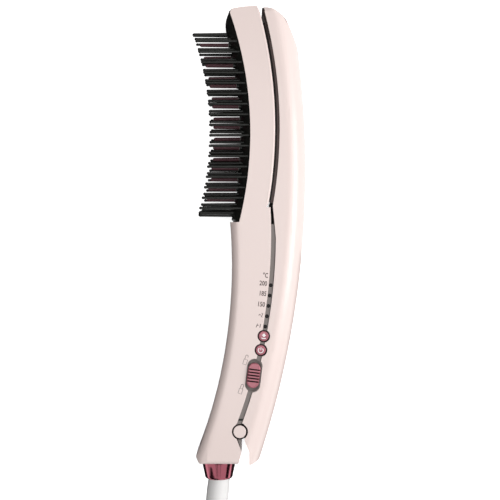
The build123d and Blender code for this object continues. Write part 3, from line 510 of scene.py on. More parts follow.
# Mains cord: from the boot down to the table, a neat coil and the end to the plug

cordLook = {"diameter": 6.0, "length": 1.8, "centre": (14.0, -165.0), "perTurn": 16}
bootEnd = (-19.35, -82.90, 19.0)
cordStart = [
    bootEnd,
    (-21.134, -98.801, 19.0),
    (-23.6, -113.5, 13.0),
    (-25.1, -131.5, 5.3),
    (-25.2, -149.5, 3.1),
]
cordEnd = [
    (60.0, -167.0, 3.1),
    (59.3, -157.5, 3.1),
    (56.6, -148.0, 3.6),
    (53.0, -138.5, 5.4),
    (49.0, -128.0, 6.85),
    (45.5, -118.0, 6.85),
]
# Where the coil changes: turned angle, radius, height of the line
coilSteps = [
    (180, 39.0, 3.1), (420, 39.0, 3.1), (490, 39.0, 9.15), (780, 39.0, 9.15), (850, 39.0, 15.2),
    (1060, 39.0, 15.2), (1150, 32.9, 15.2), (1370, 32.9, 15.2), (1450, 32.9, 9.15), (1720, 32.9, 9.15),
    (1800, 32.9, 3.1), (2000, 32.9, 3.1), (2120, 26.8, 3.1), (2270, 26.8, 3.1), (2400, 26.8, 9.15),
    (2430, 26.8, 9.15), (2590, 27.4, 21.6), (2725, 46.4, 21.6), (2868, 46.8, 3.2),
]


def coilSpots():
    spots = []
    step = 360 / cordLook["perTurn"]
    stretch = 1 / cos(pi / cordLook["perTurn"])
    centreX, centreY = cordLook["centre"]
    angle = coilSteps[0][0]
    while angle <= coilSteps[-1][0]:
        for one, two in zip(coilSteps, coilSteps[1:]):
            if one[0] <= angle <= two[0]:
                part = (angle - one[0]) / (two[0] - one[0])
                part = part * part * (3 - 2 * part)
                radius = mixed(one[1], two[1], part) * stretch
                height = mixed(one[2], two[2], part)
                break
        turn = radians(angle)
        spots.append((centreX + radius * cos(turn), centreY + radius * sin(turn), height))
        angle += step
    return spots


def cordCurve(name, spots, finish):
    curve = bpy.data.curves.new(name, "CURVE")
    curve.dimensions = "3D"
    line = curve.splines.new("NURBS")
    line.points.add(len(spots) - 1)
    for point, place in zip(line.points, spots):
        point.co = (*spot(*place), 1.0)
    line.order_u = 3
    line.use_endpoint_u = True
    line.resolution_u = 6
    curve.bevel_depth = cordLook["diameter"] / 2 * mm
    curve.bevel_resolution = 5
    curve.use_fill_caps = True
    curve.materials.append(finish)
    return addObject(name, curve)


mainsCord = cordCurve("mainsCord", cordStart + coilSpots() + cordEnd, finishes["cord"])
finishPiece(mainsCord, "main_arm", "cord", "power_cord", "cord_coil", "cord_tail")
print("cord laid:", len(mainsCord.data.splines[0].points), "points")


# Shells, frame, carriers and plates: the CAD forms with softened edges

softCopies = [
    ("main_shell", "mainShell", "main_arm", "shell", 0.6),
    ("lever_shell", "leverShell", "lever", "shell", 0.5),
    ("main_frame", "mainFrame", "main_arm", "strip", 0.2),
    ("lever_cover", "leverCover", "lever", "strip", 0.25),
    ("main_carrier", "mainCarrier", "main_arm", "carrier", 0.3),
    ("lever_carrier", "leverCarrier", "lever", "carrier", 0.3),
    ("main_plate", "mainPlate", "main_arm", "hair_plate", 0.5),
    ("lever_plate", "leverPlate", "lever", "hair_plate", 0.5),
    ("hinge_caps", "hingeCaps", "main_arm", "shell", 0.4),
    ("cap_rings", "capRings", "main_arm", "ring_dark", 0.15),
    ("plug_body", "plugBody", "main_arm", "cord", 0.6),
]
for node, name, body, slotName, edge in softCopies:
    corner = (bowX("bed", 276.0), 276.0, 3.2) if node == "main_shell" else None
    piece = softened(node, name, body, slotName, edge, corner)
    print("softened", name, len(piece.data.vertices), "points")

# The lever's faces fall away gently towards its back, and more roundly at its tip
crownLook = {"reach": 16.0, "drop": 1.7, "tipFrom": 240.0, "tipTo": 266.0, "wide": 12.5, "narrow": 5.0,
             "crispAt": 16.0, "roundAt": 25.0, "crisp": 0.9}
leverPiece = bpy.data.objects["leverShell"]
tipLine = [(bowX("back", y), y) for y in (232.0, 236.0, 240.0, 243.0)]
tipLine += [(39.1, 246.5), (38.3, 250.0), (37.2, 253.5), (36.1, 256.5), (34.8, 259.5), (33.1, 262.9),
            (31.5, 266.0), (29.8, 269.2), (27.9, 272.0), (25.9, 273.9), (23.4, 275.5), (20.3, 276.6),
            (16.6, 277.0), (14.8, 277.0)]


def fromTipLine(x, y):
    nearest = 100.0
    for (oneX, oneY), (twoX, twoY) in zip(tipLine, tipLine[1:]):
        runX, runY = twoX - oneX, twoY - oneY
        along = held(((x - oneX) * runX + (y - oneY) * runY) / (runX ** 2 + runY ** 2))
        nearest = min(nearest, hypot(x - oneX - along * runX, y - oneY - along * runY))
    return nearest


def roundedTop(radius, inside):
    # How far a rounded edge stands out from the middle, at a distance inside it
    return midDepth - radius + sqrt(radius ** 2 - (radius - min(inside, radius)) ** 2)


shape = openMesh(leverPiece.data)
cuts = [((1, 0, 0), 2.0, 44.0, 1.6), ((0, 1, 0), -16.0, 236.0, 5.0), ((0, 1, 0), 238.0, 276.0, 1.5)]
for facing, place, end, step in cuts:
    while place < end:
        bmesh.ops.bisect_plane(shape, geom=shape.verts[:] + shape.edges[:] + shape.faces[:], dist=1e-7,
                               plane_co=Vector(facing) * (place * mm), plane_no=facing)
        place += step
for vertex in shape.verts:
    x, y, z = vertex.co / mm
    fall = crownLook["drop"] * (1 - held((bowX("back", y) - x) / crownLook["reach"])) ** 2
    away = abs(z - midDepth) * (1 - fall / midDepth)
    if y > crownLook["tipFrom"]:
        part = held((y - crownLook["tipFrom"]) / (crownLook["tipTo"] - crownLook["tipFrom"]))
        radius = mixed(crownLook["wide"], crownLook["narrow"], part)
        part = held((x - crownLook["crispAt"]) / (crownLook["roundAt"] - crownLook["crispAt"]))
        radius = mixed(crownLook["crisp"], radius, part)
        away = min(away, roundedTop(radius, fromTipLine(x, y)))
    vertex.co.z = (midDepth + copysign(away, z - midDepth)) * mm
shadeSmooth(closeShape(shape, leverPiece.data), 30.0)
weighNormals(leverPiece)
print("lever crowned:", len(leverPiece.data.vertices), "points")

# The grip's long edges are rounded more tightly than the CAD form's
gripLook = {"cad": 8.0, "seen": 5.8, "fadeFrom": -19.0, "fadeOver": 5.0, "end": 136.0}
gripPiece = bpy.data.objects["mainShell"]
for vertex in gripPiece.data.vertices:
    x, y, z = vertex.co / mm
    inside = x - bowX("grip", y)
    if y > gripLook["end"] or not -0.05 < inside < gripLook["cad"]:
        continue
    was = roundedTop(gripLook["cad"], max(inside, 0.0))
    away = abs(z - midDepth)
    if abs(away - was) < 0.5:
        fade = held((y - gripLook["fadeFrom"]) / gripLook["fadeOver"])
        away += (roundedTop(gripLook["seen"], max(inside, 0.0)) - was) * fade
        vertex.co.z = (midDepth + copysign(away, z - midDepth)) * mm
shadeSmooth(gripPiece.data, 35.0)
weighNormals(gripPiece)


# Trim along the gaps: the lip of the main shell, dark liners in the gaps that are painted shade (at the jaw
# partly the dark carrier too) and a black band of painted shade on the strip

def followed(name, sections, body, slotName):
    # sections: rings of (x, y, z), one for each station along the arm
    shape = bmesh.new()
    ringsInto(shape, [[spot(*place) for place in section] for section in sections])
    return slotPiece(name, shape, body, slotName, angle=40.0)


def boxRing(near, far, y, low, top):
    return [(near, y, low), (near, y, top), (far, y, top), (far, y, low)]


def lipRing(y, corners, centreX, centreZ, reach, rise, turns):
    # Up the back, over a rounded top and down to the height of the first corner
    ring = [(x, y, z) for x, z in corners]
    for turn in turns:
        ring.append((centreX + reach * cos(radians(turn)), y, centreZ + rise * sin(radians(turn))))
    return ring + [(centreX + reach, y, corners[0][1])]


lipLook = {"from": 146.6, "to": 276.3, "reach": 1.05, "top": 38.06, "low": 36.4}
sections = []
for y in stations(lipLook["from"], lipLook["to"], 60):
    taper = min(1.0, (y - lipLook["from"]) / 2.5 + 0.2, (lipLook["to"] - y) / 2.0 + 0.4)
    edge = bowX("slit", y)
    corners = [(edge - 1.0, lipLook["low"]), (edge - 1.0, 37.9), (edge - 0.5, lipLook["top"])]
    sections.append(lipRing(y, corners, edge - 0.3, lipLook["top"] - 1.0, lipLook["reach"] * taper + 0.3, 1.0,
                            (70, 50, 30, 10)))
followed("slitLip", sections, "main_arm", "shell")

# A finer lip along the strip, above the buttons and below the knob
for name, start, end in (("stripLip", 67.5, 145.0), ("footLip", 13.5, 25.0)):
    sections = []
    for y in stations(start, end, 40):
        taper = min(1.0, (y - start) / 3.0 + 0.1, (end - y) / 3.0 + 0.1)
        edge = bowX("strip", y)
        sections.append(lipRing(y, [(edge - 1.5, 37.2), (edge - 1.5, 37.95)], edge - 0.75, 37.3, 0.75 * taper,
                                0.78, (90, 65, 45, 25)))
    followed(name, sections, "main_arm", "shell")

# Painted shade: a black liner fills the gap where the lever's edge steps back to the jaw, so that the gap
# shows dark
gapLook = {"start": 135.2, "end": 149.0, "inset": 0.3, "low": 4.0, "top": 30.0,
           "leverX": 23.49, "leverY": 126.0, "leverLean": 1.96 / 21.0}
sections = []
for y in stations(gapLook["start"], gapLook["end"], 10):
    leverEdge = gapLook["leverX"] - (y - gapLook["leverY"]) * gapLook["leverLean"]
    sections.append(boxRing(bowX("strip", y) - gapLook["inset"], leverEdge - gapLook["inset"], y,
                            gapLook["low"], gapLook["top"]))
followed("gapLiner", sections, "main_arm", "ring_dark")

# A dark liner at the jaw's far end, with a small slope at its top: partly the dark carrier, partly painted
# shade on the lever's inner wall
jawLook = {"start": 255.0, "end": 275.6, "inside": 3.0, "thick": 1.4, "low": 3.0, "top": 37.9, "slope": 0.3}
sections = []
for y in stations(jawLook["start"], jawLook["end"], 14):
    near = bowX("slit", y) + jawLook["inside"]
    far = near + jawLook["thick"]
    sections.append([(near, y, jawLook["low"]), (near, y, jawLook["top"] - jawLook["slope"]),
                     (near + 0.25, y, jawLook["top"]), (far, y, jawLook["top"]), (far, y, jawLook["low"])])
followed("jawLiner", sections, "lever", "hair_plate")

# Painted shade: a black band across the strip, for the shade of a narrow groove there
bandLook = {"y": 7.8, "height": 1.25, "near": -0.05, "far": 3.1, "low": 36.0, "top": 37.75}
sections = []
for y in stations(bandLook["y"] - bandLook["height"] / 2, bandLook["y"] + bandLook["height"] / 2, 2):
    edge = bowX("strip", y)
    sections.append(boxRing(edge + bandLook["near"], edge + bandLook["far"], y, bandLook["low"],
                            bandLook["top"]))
followed("stripBand", sections, "main_arm", "bristle_black")

# The lever's inner cover shows as a small dark corner below the hinge cap
fillLook = {"start": -7.7, "end": -5.0, "nearAtStart": 3.8, "nearAtEnd": 3.1, "far": 4.6, "low": 26.0,
            "top": 35.6}
sections = []
for y in stations(fillLook["start"], fillLook["end"], 2):
    part = (y - fillLook["start"]) / (fillLook["end"] - fillLook["start"])
    near = mixed(fillLook["nearAtStart"], fillLook["nearAtEnd"], part)
    sections.append(boxRing(near, fillLook["far"], y, fillLook["low"], fillLook["top"]))
followed("hingeFill", sections, "lever", "strip")
print("trim made")


# Plug pins: sleeved shanks with rounded bare ends

plugLook = {"body": 36.0, "spacing": 19.0, "radius": 2.0, "length": 19.0, "sleeve": 10.0}
plugRun = Vector(cordEnd[-1]) - Vector(cordEnd[-2])
plugLean = asin(plugRun.x / plugRun.length)
atPlug = (Matrix.Translation(spot(*cordEnd[-1])) @ Matrix.Rotation(-plugLean, 4, "Z")
          @ Matrix.Rotation(-pi / 2, 4, "X"))
wide = plugLook["radius"]
sleeve = plugLook["sleeve"]
tip = plugLook["length"]
profile = [(0, -0.5), (wide - 0.15, -0.5), (wide - 0.15, sleeve - 0.3), (wide, sleeve), (wide, tip - 1.4),
           (wide * 0.86, tip - 0.6), (wide * 0.55, tip - 0.1), (0, tip)]
shape = bmesh.new()
for side in (-1, 1):
    aside = Matrix.Translation(spot(side * plugLook["spacing"] / 2, 0, plugLook["body"]))
    latheInto(shape, profile, atPlug @ aside, 28)
slotPiece("plugPins", shape, "main_arm", "plug_metal", "plug_pins")
print("plug made")


# Bristle bed: a crowned cover with a rounded far end

bedLook = {"crown": 6.0, "halfWidth": 17.8, "footY": 136.7, "endY": 274.4, "roundLength": 14.0, "rows": 96,
           "across": 36, "back": 2.4, "backFrom": 139.9, "backTo": 272.0, "sideInset": 2.3}


def bedCrown(y):
    part = max(0.0, (y - (bedLook["endY"] - bedLook["roundLength"])) / bedLook["roundLength"])
    foot = max(0.0, 1 - (y - bedLook["footY"]) / 2.4)
    return bedLook["crown"] * max(0.02, (1 - part ** 2.2) ** 0.62) * (1 - 0.35 * foot ** 2)


def bedX(y, z):
    reach = bedLook["halfWidth"]
    crown = bedLook["crown"]
    radius = (reach ** 2 + crown ** 2) / (2 * crown)
    aside = min(reach, abs(z - midDepth))
    arch = sqrt(radius ** 2 - aside ** 2) - (radius - crown)
    return bowX("bed", y) - arch * bedCrown(y) / crown


shape = bmesh.new()
rings = []
for row in range(bedLook["rows"] + 1):
    y = mixed(bedLook["footY"], bedLook["endY"], 1 - (1 - row / bedLook["rows"]) ** 1.35)
    ring = []
    for column in range(bedLook["across"] + 1):
        z = midDepth - bedLook["halfWidth"] * cos(pi * column / bedLook["across"])
        ring.append(spot(bedX(y, z), y, z))
    backY = held(y, bedLook["backFrom"], bedLook["backTo"])
    for z in (bodyDepth - bedLook["sideInset"], bedLook["sideInset"]):
        ring.append(spot(bowX("bed", y) + bedLook["back"], backY, z))
    rings.append(ring)
ringsInto(shape, rings)
slotPiece("brushBed", shape, "main_arm", "bristle_black", "brush_bed")
print("bed made")


# Bristles, comb teeth and their seats: one Geometry Nodes tree, used with different sizes

def geometryTree(name, sockets):
    inputs = {"Geometry": "Geometry", **sockets, "Finish": "Material"}
    return newTree(name, "GeometryNodeTree", inputs, {"Geometry": "Geometry"})


def closeGeometry(tree, given, made):
    # Each tree ends in real meshes with their finish
    real = addNode(tree, "GeometryNodeRealizeInstances", Geometry=made)
    coated = addNode(tree, "GeometryNodeSetMaterial", Geometry=real.outputs[0], Material=given["Finish"])
    addNode(tree, "NodeGroupOutput", Geometry=coated.outputs[0])


def pinTree():
    tree, given = geometryTree("pinField", {"Root Radius": "Float", "Tip Radius": "Float",
                                            "Ball Radius": "Float", "Ball": "Bool", "Lean": "Float",
                                            "Seed": "Int", "Sides": "Int"})
    reach = addNode(tree, "GeometryNodeInputNamedAttribute", {"data_type": "FLOAT"}, Name="reach")
    reach = reach.outputs["Attribute"]

    # Each pin points towards -X and sways a little
    spread = addNode(tree, "ShaderNodeCombineXYZ", Y=given["Lean"], Z=given["Lean"]).outputs[0]
    back = addNode(tree, "ShaderNodeVectorMath", {"operation": "SCALE"}, Vector=spread, Scale=-1.0)
    sway = addNode(tree, "FunctionNodeRandomValue", {"data_type": "FLOAT_VECTOR"}, Min=back.outputs[0],
                   Max=spread, Seed=given["Seed"])
    turned = addNode(tree, "ShaderNodeVectorMath", {"operation": "ADD"})
    feed(tree, turned.inputs[0], sway.outputs["Value"])
    feed(tree, turned.inputs[1], (0.0, -pi / 2, 0.0))
    turn = addNode(tree, "FunctionNodeEulerToRotation", Euler=turned.outputs[0]).outputs[0]

    shaft = addNode(tree, "GeometryNodeMeshCone", Vertices=given["Sides"], Depth=1.0,
                    Radius_Top=given["Tip Radius"], Radius_Bottom=given["Root Radius"])
    size = addNode(tree, "ShaderNodeCombineXYZ", X=1.0, Y=1.0, Z=reach)
    shafts = addNode(tree, "GeometryNodeInstanceOnPoints", Points=given["Geometry"], Rotation=turn,
                     Instance=shaft.outputs["Mesh"], Scale=size.outputs[0])

    ahead = addNode(tree, "ShaderNodeCombineXYZ", Z=reach)
    ahead = addNode(tree, "FunctionNodeRotateVector", Vector=ahead.outputs[0], Rotation=turn)
    ends = addNode(tree, "GeometryNodeSetPosition", Geometry=given["Geometry"], Offset=ahead.outputs[0])
    ball = addNode(tree, "GeometryNodeMeshUVSphere", Segments=given["Sides"], Rings=8,
                   Radius=given["Ball Radius"])
    balls = addNode(tree, "GeometryNodeInstanceOnPoints", Points=ends.outputs[0], Rotation=turn,
                    Instance=ball.outputs["Mesh"])
    pick = addNode(tree, "GeometryNodeSwitch", {"input_type": "GEOMETRY"}, Switch=given["Ball"])
    feed(tree, pick.inputs["True"], balls.outputs[0])

    joined = tree.nodes.new("GeometryNodeJoinGeometry")
    feed(tree, joined.inputs[0], shafts.outputs[0])
    feed(tree, joined.inputs[0], pick.outputs[0])
    closeGeometry(tree, given, joined.outputs[0])
    return tree


pinField = pinTree()


def grown(name, tree, slotName, values, places, reaches=()):
    # Runs a Geometry Nodes tree on bare points and keeps the mesh that it makes
    mesh = bpy.data.meshes.new(name)
    mesh.from_pydata([spot(*place) for place in places], [], [])
    mesh.materials.append(finishes[slotName])
    if reaches:
        lengths = mesh.attributes.new("reach", "FLOAT", "POINT")
        for item, reach in zip(lengths.data, reaches):
            item.value = reach * mm
    piece = addObject(name, mesh)
    field = piece.modifiers.new(tree.name, "NODES")
    field.node_group = tree
    values["Finish"] = finishes[slotName]
    for item in tree.interface.items_tree:
        if item.item_type == "SOCKET" and item.in_out == "INPUT" and item.name in values:
            field[item.identifier] = values[item.name]
    return settled(piece)


def growPins(name, roots, slotName, *replaced, root, tip, ball=0.0, lean=0.0, seed=3, sides=14):
    # roots: place of each root and how far the pin reaches from it
    values = {"Root Radius": root * mm, "Tip Radius": tip * mm, "Ball Radius": ball * mm, "Ball": ball > 0,
              "Lean": lean, "Seed": seed, "Sides": sides}
    piece = grown(name, pinField, slotName, values, [place for place, reach in roots],
                  [reach for place, reach in roots])
    shape = openMesh(piece.data)
    bmesh.ops.recalc_face_normals(shape, faces=shape.faces)
    shadeSmooth(closeShape(shape, piece.data), 50.0)
    return finishPiece(piece, "main_arm", slotName, *replaced)


bristleLook = {"pitch": 6.83, "count": 17, "firstY": 145.5, "outerRow": 15.5, "innerRow": 8.5,
               "footRow": 4.2, "stagger": 0.42, "toothRow": 4.6, "teeth": 16, "toothStagger": 0.95,
               "toothShort": 1.4, "toothTip": 2.4, "deep": 0.8, "toothDeep": 1.0}


def bedPlace(along, aside):
    # along counts pitches from the first row, aside is from the middle of the depth
    return bristleLook["firstY"] + along * bristleLook["pitch"], midDepth + aside


bristlePlaces = []
for index in range(bristleLook["count"]):
    for side in (-1, 1):
        bristlePlaces.append(bedPlace(index, side * bristleLook["outerRow"]))
        bristlePlaces.append(bedPlace(index + bristleLook["stagger"], side * bristleLook["innerRow"]))
endPlaces = [bedPlace(-0.55, 0.0), bedPlace(bristleLook["count"] + 0.1, 0.0),
             bedPlace(-0.28, -bristleLook["footRow"]), bedPlace(-0.38, bristleLook["footRow"])]
toothPlaces = []
for index in range(bristleLook["teeth"]):
    side = 1 if index % 2 else -1
    toothPlaces.append(bedPlace(index + bristleLook["toothStagger"], side * bristleLook["toothRow"]))


def rootsAt(places, deep, shorter):
    roots = []
    for y, z in places:
        rootX = bedX(y, z) + deep
        roots.append(((rootX, y, z), rootX - bowX("tips", y) - shorter))
    return roots


growPins("bristlePins", rootsAt(bristlePlaces, bristleLook["deep"], 0.0), "bristle_black", "bristles",
         root=0.98, tip=0.84, ball=0.98, lean=0.006, seed=7)
growPins("endPins", rootsAt(endPlaces, bristleLook["deep"], 0.0), "bristle_black",
         root=1.5, tip=1.25, ball=1.3, seed=7)
toothEnd = bristleLook["toothShort"] + bristleLook["toothTip"]
growPins("combTeeth", rootsAt(toothPlaces, bristleLook["toothDeep"], toothEnd), "comb_coating",
         "heated_teeth", root=1.35, tip=1.15, sides=20)

# Seats: a low black foot at the root of each tooth, with a grey lip that is partly a lighter rim and partly a
# painted highlight on the rim
seatLook = {"deep": 1.2, "proud": 1.1, "radius": 1.75, "lip": 0.4, "lipDeep": 0.05}
wide = seatLook["radius"]
seats = [place for place, reach in rootsAt(toothPlaces, seatLook["deep"], 0.0)]
growPins("toothSeats", [(place, seatLook["deep"] + seatLook["proud"]) for place in seats], "bristle_black",
         root=wide, tip=wide - 0.1, sides=24)
rimHighlights = [((x - seatLook["deep"] - seatLook["proud"] + seatLook["lipDeep"], y, z), seatLook["lip"])
        for x, y, z in seats]
growPins("seatLips", rimHighlights, "strip", root=wide - 0.15, tip=wide - 0.3, sides=24)
tipRoots = [((bowX("tips", y) + toothEnd, y, z), bristleLook["toothTip"] - 1.15) for y, z in toothPlaces]
growPins("toothTips", tipRoots, "comb_coating", "tooth_tips", root=1.16, tip=1.14, ball=1.14, sides=20)
print("bristles:", len(bristlePlaces) + len(endPlaces), "teeth:", len(toothPlaces))


# Strip controls: buttons with rings, lenses, lock knob

def stripAt(y, aside):
    return Matrix.Translation(spot(bowX("strip", y) + aside, y, 0))


buttonLook = {"radius": 3.3, "ring": 0.6, "aside": 1.45, "top": 38.1, "dome": 0.28, "low": 33.8}
buttonYs = {"mode": 62.2, "power": 53.1}


def domeHeight(radius):
    part = held(radius / buttonLook["radius"])
    return buttonLook["top"] + buttonLook["dome"] * (1 - part ** 2)


def buttonPiece(name, y, node):
    wide, low = buttonLook["radius"], buttonLook["low"]
    edge = wide - 0.28
    profile = [(0, low - 1.2), (wide + 0.5, low - 1.2), (wide + 0.5, low), (wide, low), (wide, 37.75),
               (wide - 0.1, 37.98), (edge, domeHeight(edge))]
    profile += [(wide * part, domeHeight(wide * part)) for part in (0.8, 0.6, 0.4, 0.2, 0.0)]
    lathedPiece(name, profile, stripAt(y, buttonLook["aside"]), 56, node, "rose_button", node)


buttonPiece("modeButton", buttonYs["mode"], "mode_button")
buttonPiece("powerButton", buttonYs["power"], "power_button")

# Dark rings round the buttons: partly a dark bezel, partly painted shade of the gap round each button
shape = bmesh.new()
inner = buttonLook["radius"] + 0.1
outer = buttonLook["radius"] + buttonLook["ring"]
profile = [(inner, 34.0), (inner, 37.9), (inner + 0.12, 38.05), (outer - 0.15, 38.05), (outer, 37.9),
           (outer, 34.0)]
for y in buttonYs.values():
    latheInto(shape, profile, stripAt(y, buttonLook["aside"]), 56, ring=True)
slotPiece("buttonRings", shape, "main_arm", "ring_dark", "button_rings")


# Printed marks are thin strokes laid on a surface

def arcPath(centreX, centreY, radius, fromAngle, toAngle, count=18):
    turns = [radians(turn) for turn in stations(fromAngle, toAngle, count)]
    return [(centreX + radius * cos(turn), centreY + radius * sin(turn)) for turn in turns]


def strokeInto(shape, path, width, closed=False):
    count = len(path)
    left, right = [], []
    for i, (x, y) in enumerate(path):
        before = path[(i - 1) % count] if closed or i > 0 else path[i]
        after = path[(i + 1) % count] if closed or i < count - 1 else path[i]
        runX, runY = after[0] - before[0], after[1] - before[1]
        length = hypot(runX, runY)
        sideX, sideY = -runY / length * width / 2, runX / length * width / 2
        left.append(shape.verts.new((x + sideX, y + sideY, 0)))
        right.append(shape.verts.new((x - sideX, y - sideY, 0)))
    for i in range(count if closed else count - 1):
        j = (i + 1) % count
        shape.faces.new((left[i], right[i], right[j], left[j]))


labelLook = {"size": 4.3, "narrow": 0.78, "bold": 0.08, "turn": -6.3, "lift": 38.0}
printLook = {"thick": 0.04, "buttonThick": 0.06, "sunk": 0.05, "buttonTurn": -6.0}


def onFace(x, y):
    return labelLook["lift"]


def onButton(x, y):
    return domeHeight(hypot(x, y))


def printPiece(name, shape, finish, place, body="main_arm", slotName="shell", lift=onFace,
               thick=printLook["thick"]):
    # place is (x, y, turn in degrees) in mm, lift gives the surface height at a local (x, y)
    bmesh.ops.recalc_face_normals(shape, faces=shape.faces)
    made = bmesh.ops.extrude_face_region(shape, geom=shape.faces[:])
    top = {item for item in made["geom"] if isinstance(item, bmesh.types.BMVert)}
    centreX, centreY, turn = place
    turned = Matrix.Translation(spot(centreX, centreY, 0)) @ Matrix.Rotation(radians(turn), 4, "Z")
    for vertex in shape.verts:
        x, y = vertex.co.xy
        vertex.co = turned @ spot(x, y, lift(x, y) + (thick if vertex in top else -printLook["sunk"]))
    return finishPiece(meshPiece(name, shape, finish), body, slotName)


def buttonMark(name, shape, button, aside):
    y = buttonYs[button]
    place = (bowX("strip", y) + buttonLook["aside"] + aside, y, printLook["buttonTurn"])
    printPiece(name, shape, printWhite, place, button + "_button", "rose_button", onButton,
               printLook["buttonThick"])


shape = bmesh.new()
arrow = [(0, 1.95), (-1.5, 0.35), (-0.62, 0.35), (-0.62, -0.45), (0.62, -0.45), (0.62, 0.35), (1.5, 0.35)]
shape.faces.new([shape.verts.new((x, y, 0)) for x, y in arrow])
strokeInto(shape, arcPath(0, 0.75, 2.35, 232, 308), 0.62)
buttonMark("modeMark", shape, "mode", 0.15)
shape = bmesh.new()
strokeInto(shape, arcPath(0, -0.1, 1.62, 128, 412), 0.52)
strokeInto(shape, [(0, 0.15), (0, 1.85)], 0.5)
buttonMark("powerMark", shape, "power", 0.0)
print("buttons made")


# Lamp lenses along the strip: one turned stud, set out by Geometry Nodes

def studTree():
    tree, given = geometryTree("studRow", {"Stud": "Object"})
    stud = addNode(tree, "GeometryNodeObjectInfo", Object=given["Stud"])
    placed = addNode(tree, "GeometryNodeInstanceOnPoints", Points=given["Geometry"],
                     Instance=stud.outputs["Geometry"])
    closeGeometry(tree, given, placed.outputs[0])
    return tree


lensLook = {"radius": 1.25, "aside": 1.375, "firstY": 68.4, "pitch": 6.72, "count": 5, "low": 32.0,
            "top": 37.7}
lensPlaces = []
for index in range(lensLook["count"]):
    y = lensLook["firstY"] + index * lensLook["pitch"]
    lensPlaces.append((bowX("strip", y) + lensLook["aside"], y, 0))
wide, low, top = lensLook["radius"], lensLook["low"], lensLook["top"]
profile = [(0, low), (wide, low), (wide, top - 0.05), (wide * 0.93, top + 0.06), (wide * 0.7, top + 0.17),
           (wide * 0.35, top + 0.24), (0, top + 0.26)]
shape = bmesh.new()
latheInto(shape, profile, Matrix.Identity(4), 28)
stud = meshPiece("lensStud", shape, finishes["lens"])
lenses = grown("lampLenses", studTree(), "lens", {"Stud": stud}, lensPlaces)
bpy.data.objects.remove(stud)
shadeSmooth(lenses.data, 35.0)
finishPiece(lenses, "main_arm", "lens", "indicator_lenses")
print("lenses made")


# Lock knob: a capsule with a soft rim and five finger grooves

knobLook = {"y": 36.7, "aside": 0.75, "tilt": 7.0, "length": 16.4, "width": 8.1, "low": 36.4, "top": 39.5,
            "grooves": 5, "pitch": 1.95, "groove": 0.95, "grooveWidth": 0.95, "rim": 0.7, "rimReach": 0.84,
            "rows": 240, "across": 18}
atKnob = stripAt(knobLook["y"], knobLook["aside"]) @ Matrix.Rotation(radians(-knobLook["tilt"]), 4, "Z")
grooveYs = [(index - (knobLook["grooves"] - 1) / 2) * knobLook["pitch"]
            for index in range(knobLook["grooves"])]


def knobGroove(y):
    away = min(abs(y - grooveY) for grooveY in grooveYs) / (knobLook["grooveWidth"] / 2)
    return knobLook["groove"] * sqrt(max(0.0, 1 - away ** 2))


shape = bmesh.new()
rings = []
cap = knobLook["width"] / 2
straight = knobLook["length"] / 2 - cap
for row in range(knobLook["rows"] + 1):
    # Just short of the ends, so that no ring closes to a point
    y = -cos(pi * row / knobLook["rows"]) * knobLook["length"] / 2 * 0.9999
    beyond = max(0.0, abs(y) - straight)
    reach = sqrt(max(0.0, cap ** 2 - beyond ** 2)) + 1e-4
    depth = knobGroove(y)
    ring = [(-reach, knobLook["low"]), (-reach, knobLook["top"] - knobLook["rim"])]
    for column in range(knobLook["across"] + 1):
        x = -reach * cos(pi * column / knobLook["across"])
        rim = 1 - held((cap - hypot(x, beyond)) / knobLook["rimReach"])
        height = knobLook["top"] - knobLook["rim"] * (1 - sqrt(max(0.0, 1 - rim ** 2)))
        height -= depth * held((cap - abs(x)) / 0.5 + 0.35)
        ring.append((x, height))
    ring += [(reach, knobLook["top"] - knobLook["rim"]), (reach, knobLook["low"])]
    rings.append([atKnob @ spot(x, y, z) for x, z in ring])
ringsInto(shape, rings)
bmesh.ops.remove_doubles(shape, verts=shape.verts, dist=1e-7)
slotPiece("lockKnob", shape, "lock", "rose_button", "lock_knob", angle=50.0)

# Painted shade: dark strips in the grooves, where shade falls between the ridges
grooveShadeLook = {"short": 0.45, "low": 38.0, "sunk": 0.42, "dip": 0.25, "halfWidth": 0.34}
shape = bmesh.new()
for y in grooveYs:
    beyond = max(0.0, abs(y) - straight)
    reach = sqrt(cap ** 2 - beyond ** 2) - grooveShadeLook["short"]
    low, across = grooveShadeLook["low"], grooveShadeLook["halfWidth"]
    rings = []
    for side in stations(-1.0, 1.0, 12):
        top = knobLook["top"] - grooveShadeLook["sunk"] - grooveShadeLook["dip"] * abs(side) ** 6
        rings.append([atKnob @ spot(reach * side, y + dy, z)
                      for dy, z in ((-across, low), (-across, top), (across, top), (across, low))])
    ringsInto(shape, rings)
slotPiece("knobGrooves", shape, "lock", "ring_dark")
print("knob made")


# Collar, boot and their axis

collarLook = {"x": -14.2, "topY": -21.5, "length": 12.6, "cadLength": 13.7, "topRadius": 11.25,
              "endRadius": 9.2, "mouth": 8.1}
atCollar = (Matrix.Translation(spot(collarLook["x"], collarLook["topY"], midDepth))
            @ Matrix.Rotation(pi / 2, 4, "X"))
long, wide = collarLook["length"], collarLook["topRadius"]
narrow, mouth = collarLook["endRadius"], collarLook["mouth"]
profile = [(0, 0.3), (wide - 0.5, 0.05), (wide - 0.12, 0.25), (wide, 0.7), (wide - 0.04, 1.5),
           (wide - 0.5, long * 0.35), (narrow + 0.52, long * 0.72), (narrow + 0.08, long - 1.3),
           (narrow - 0.12, long - 0.6), (narrow - 0.5, long - 0.12), (mouth + 0.35, long),
           (mouth + 0.08, long - 0.15), (mouth, long - 0.5), (mouth, long - 2.0), (0, long - 2.0)]
lathedPiece("collarRing", profile, atCollar, 128, "main_arm", "rose_metal", "collar_ring")

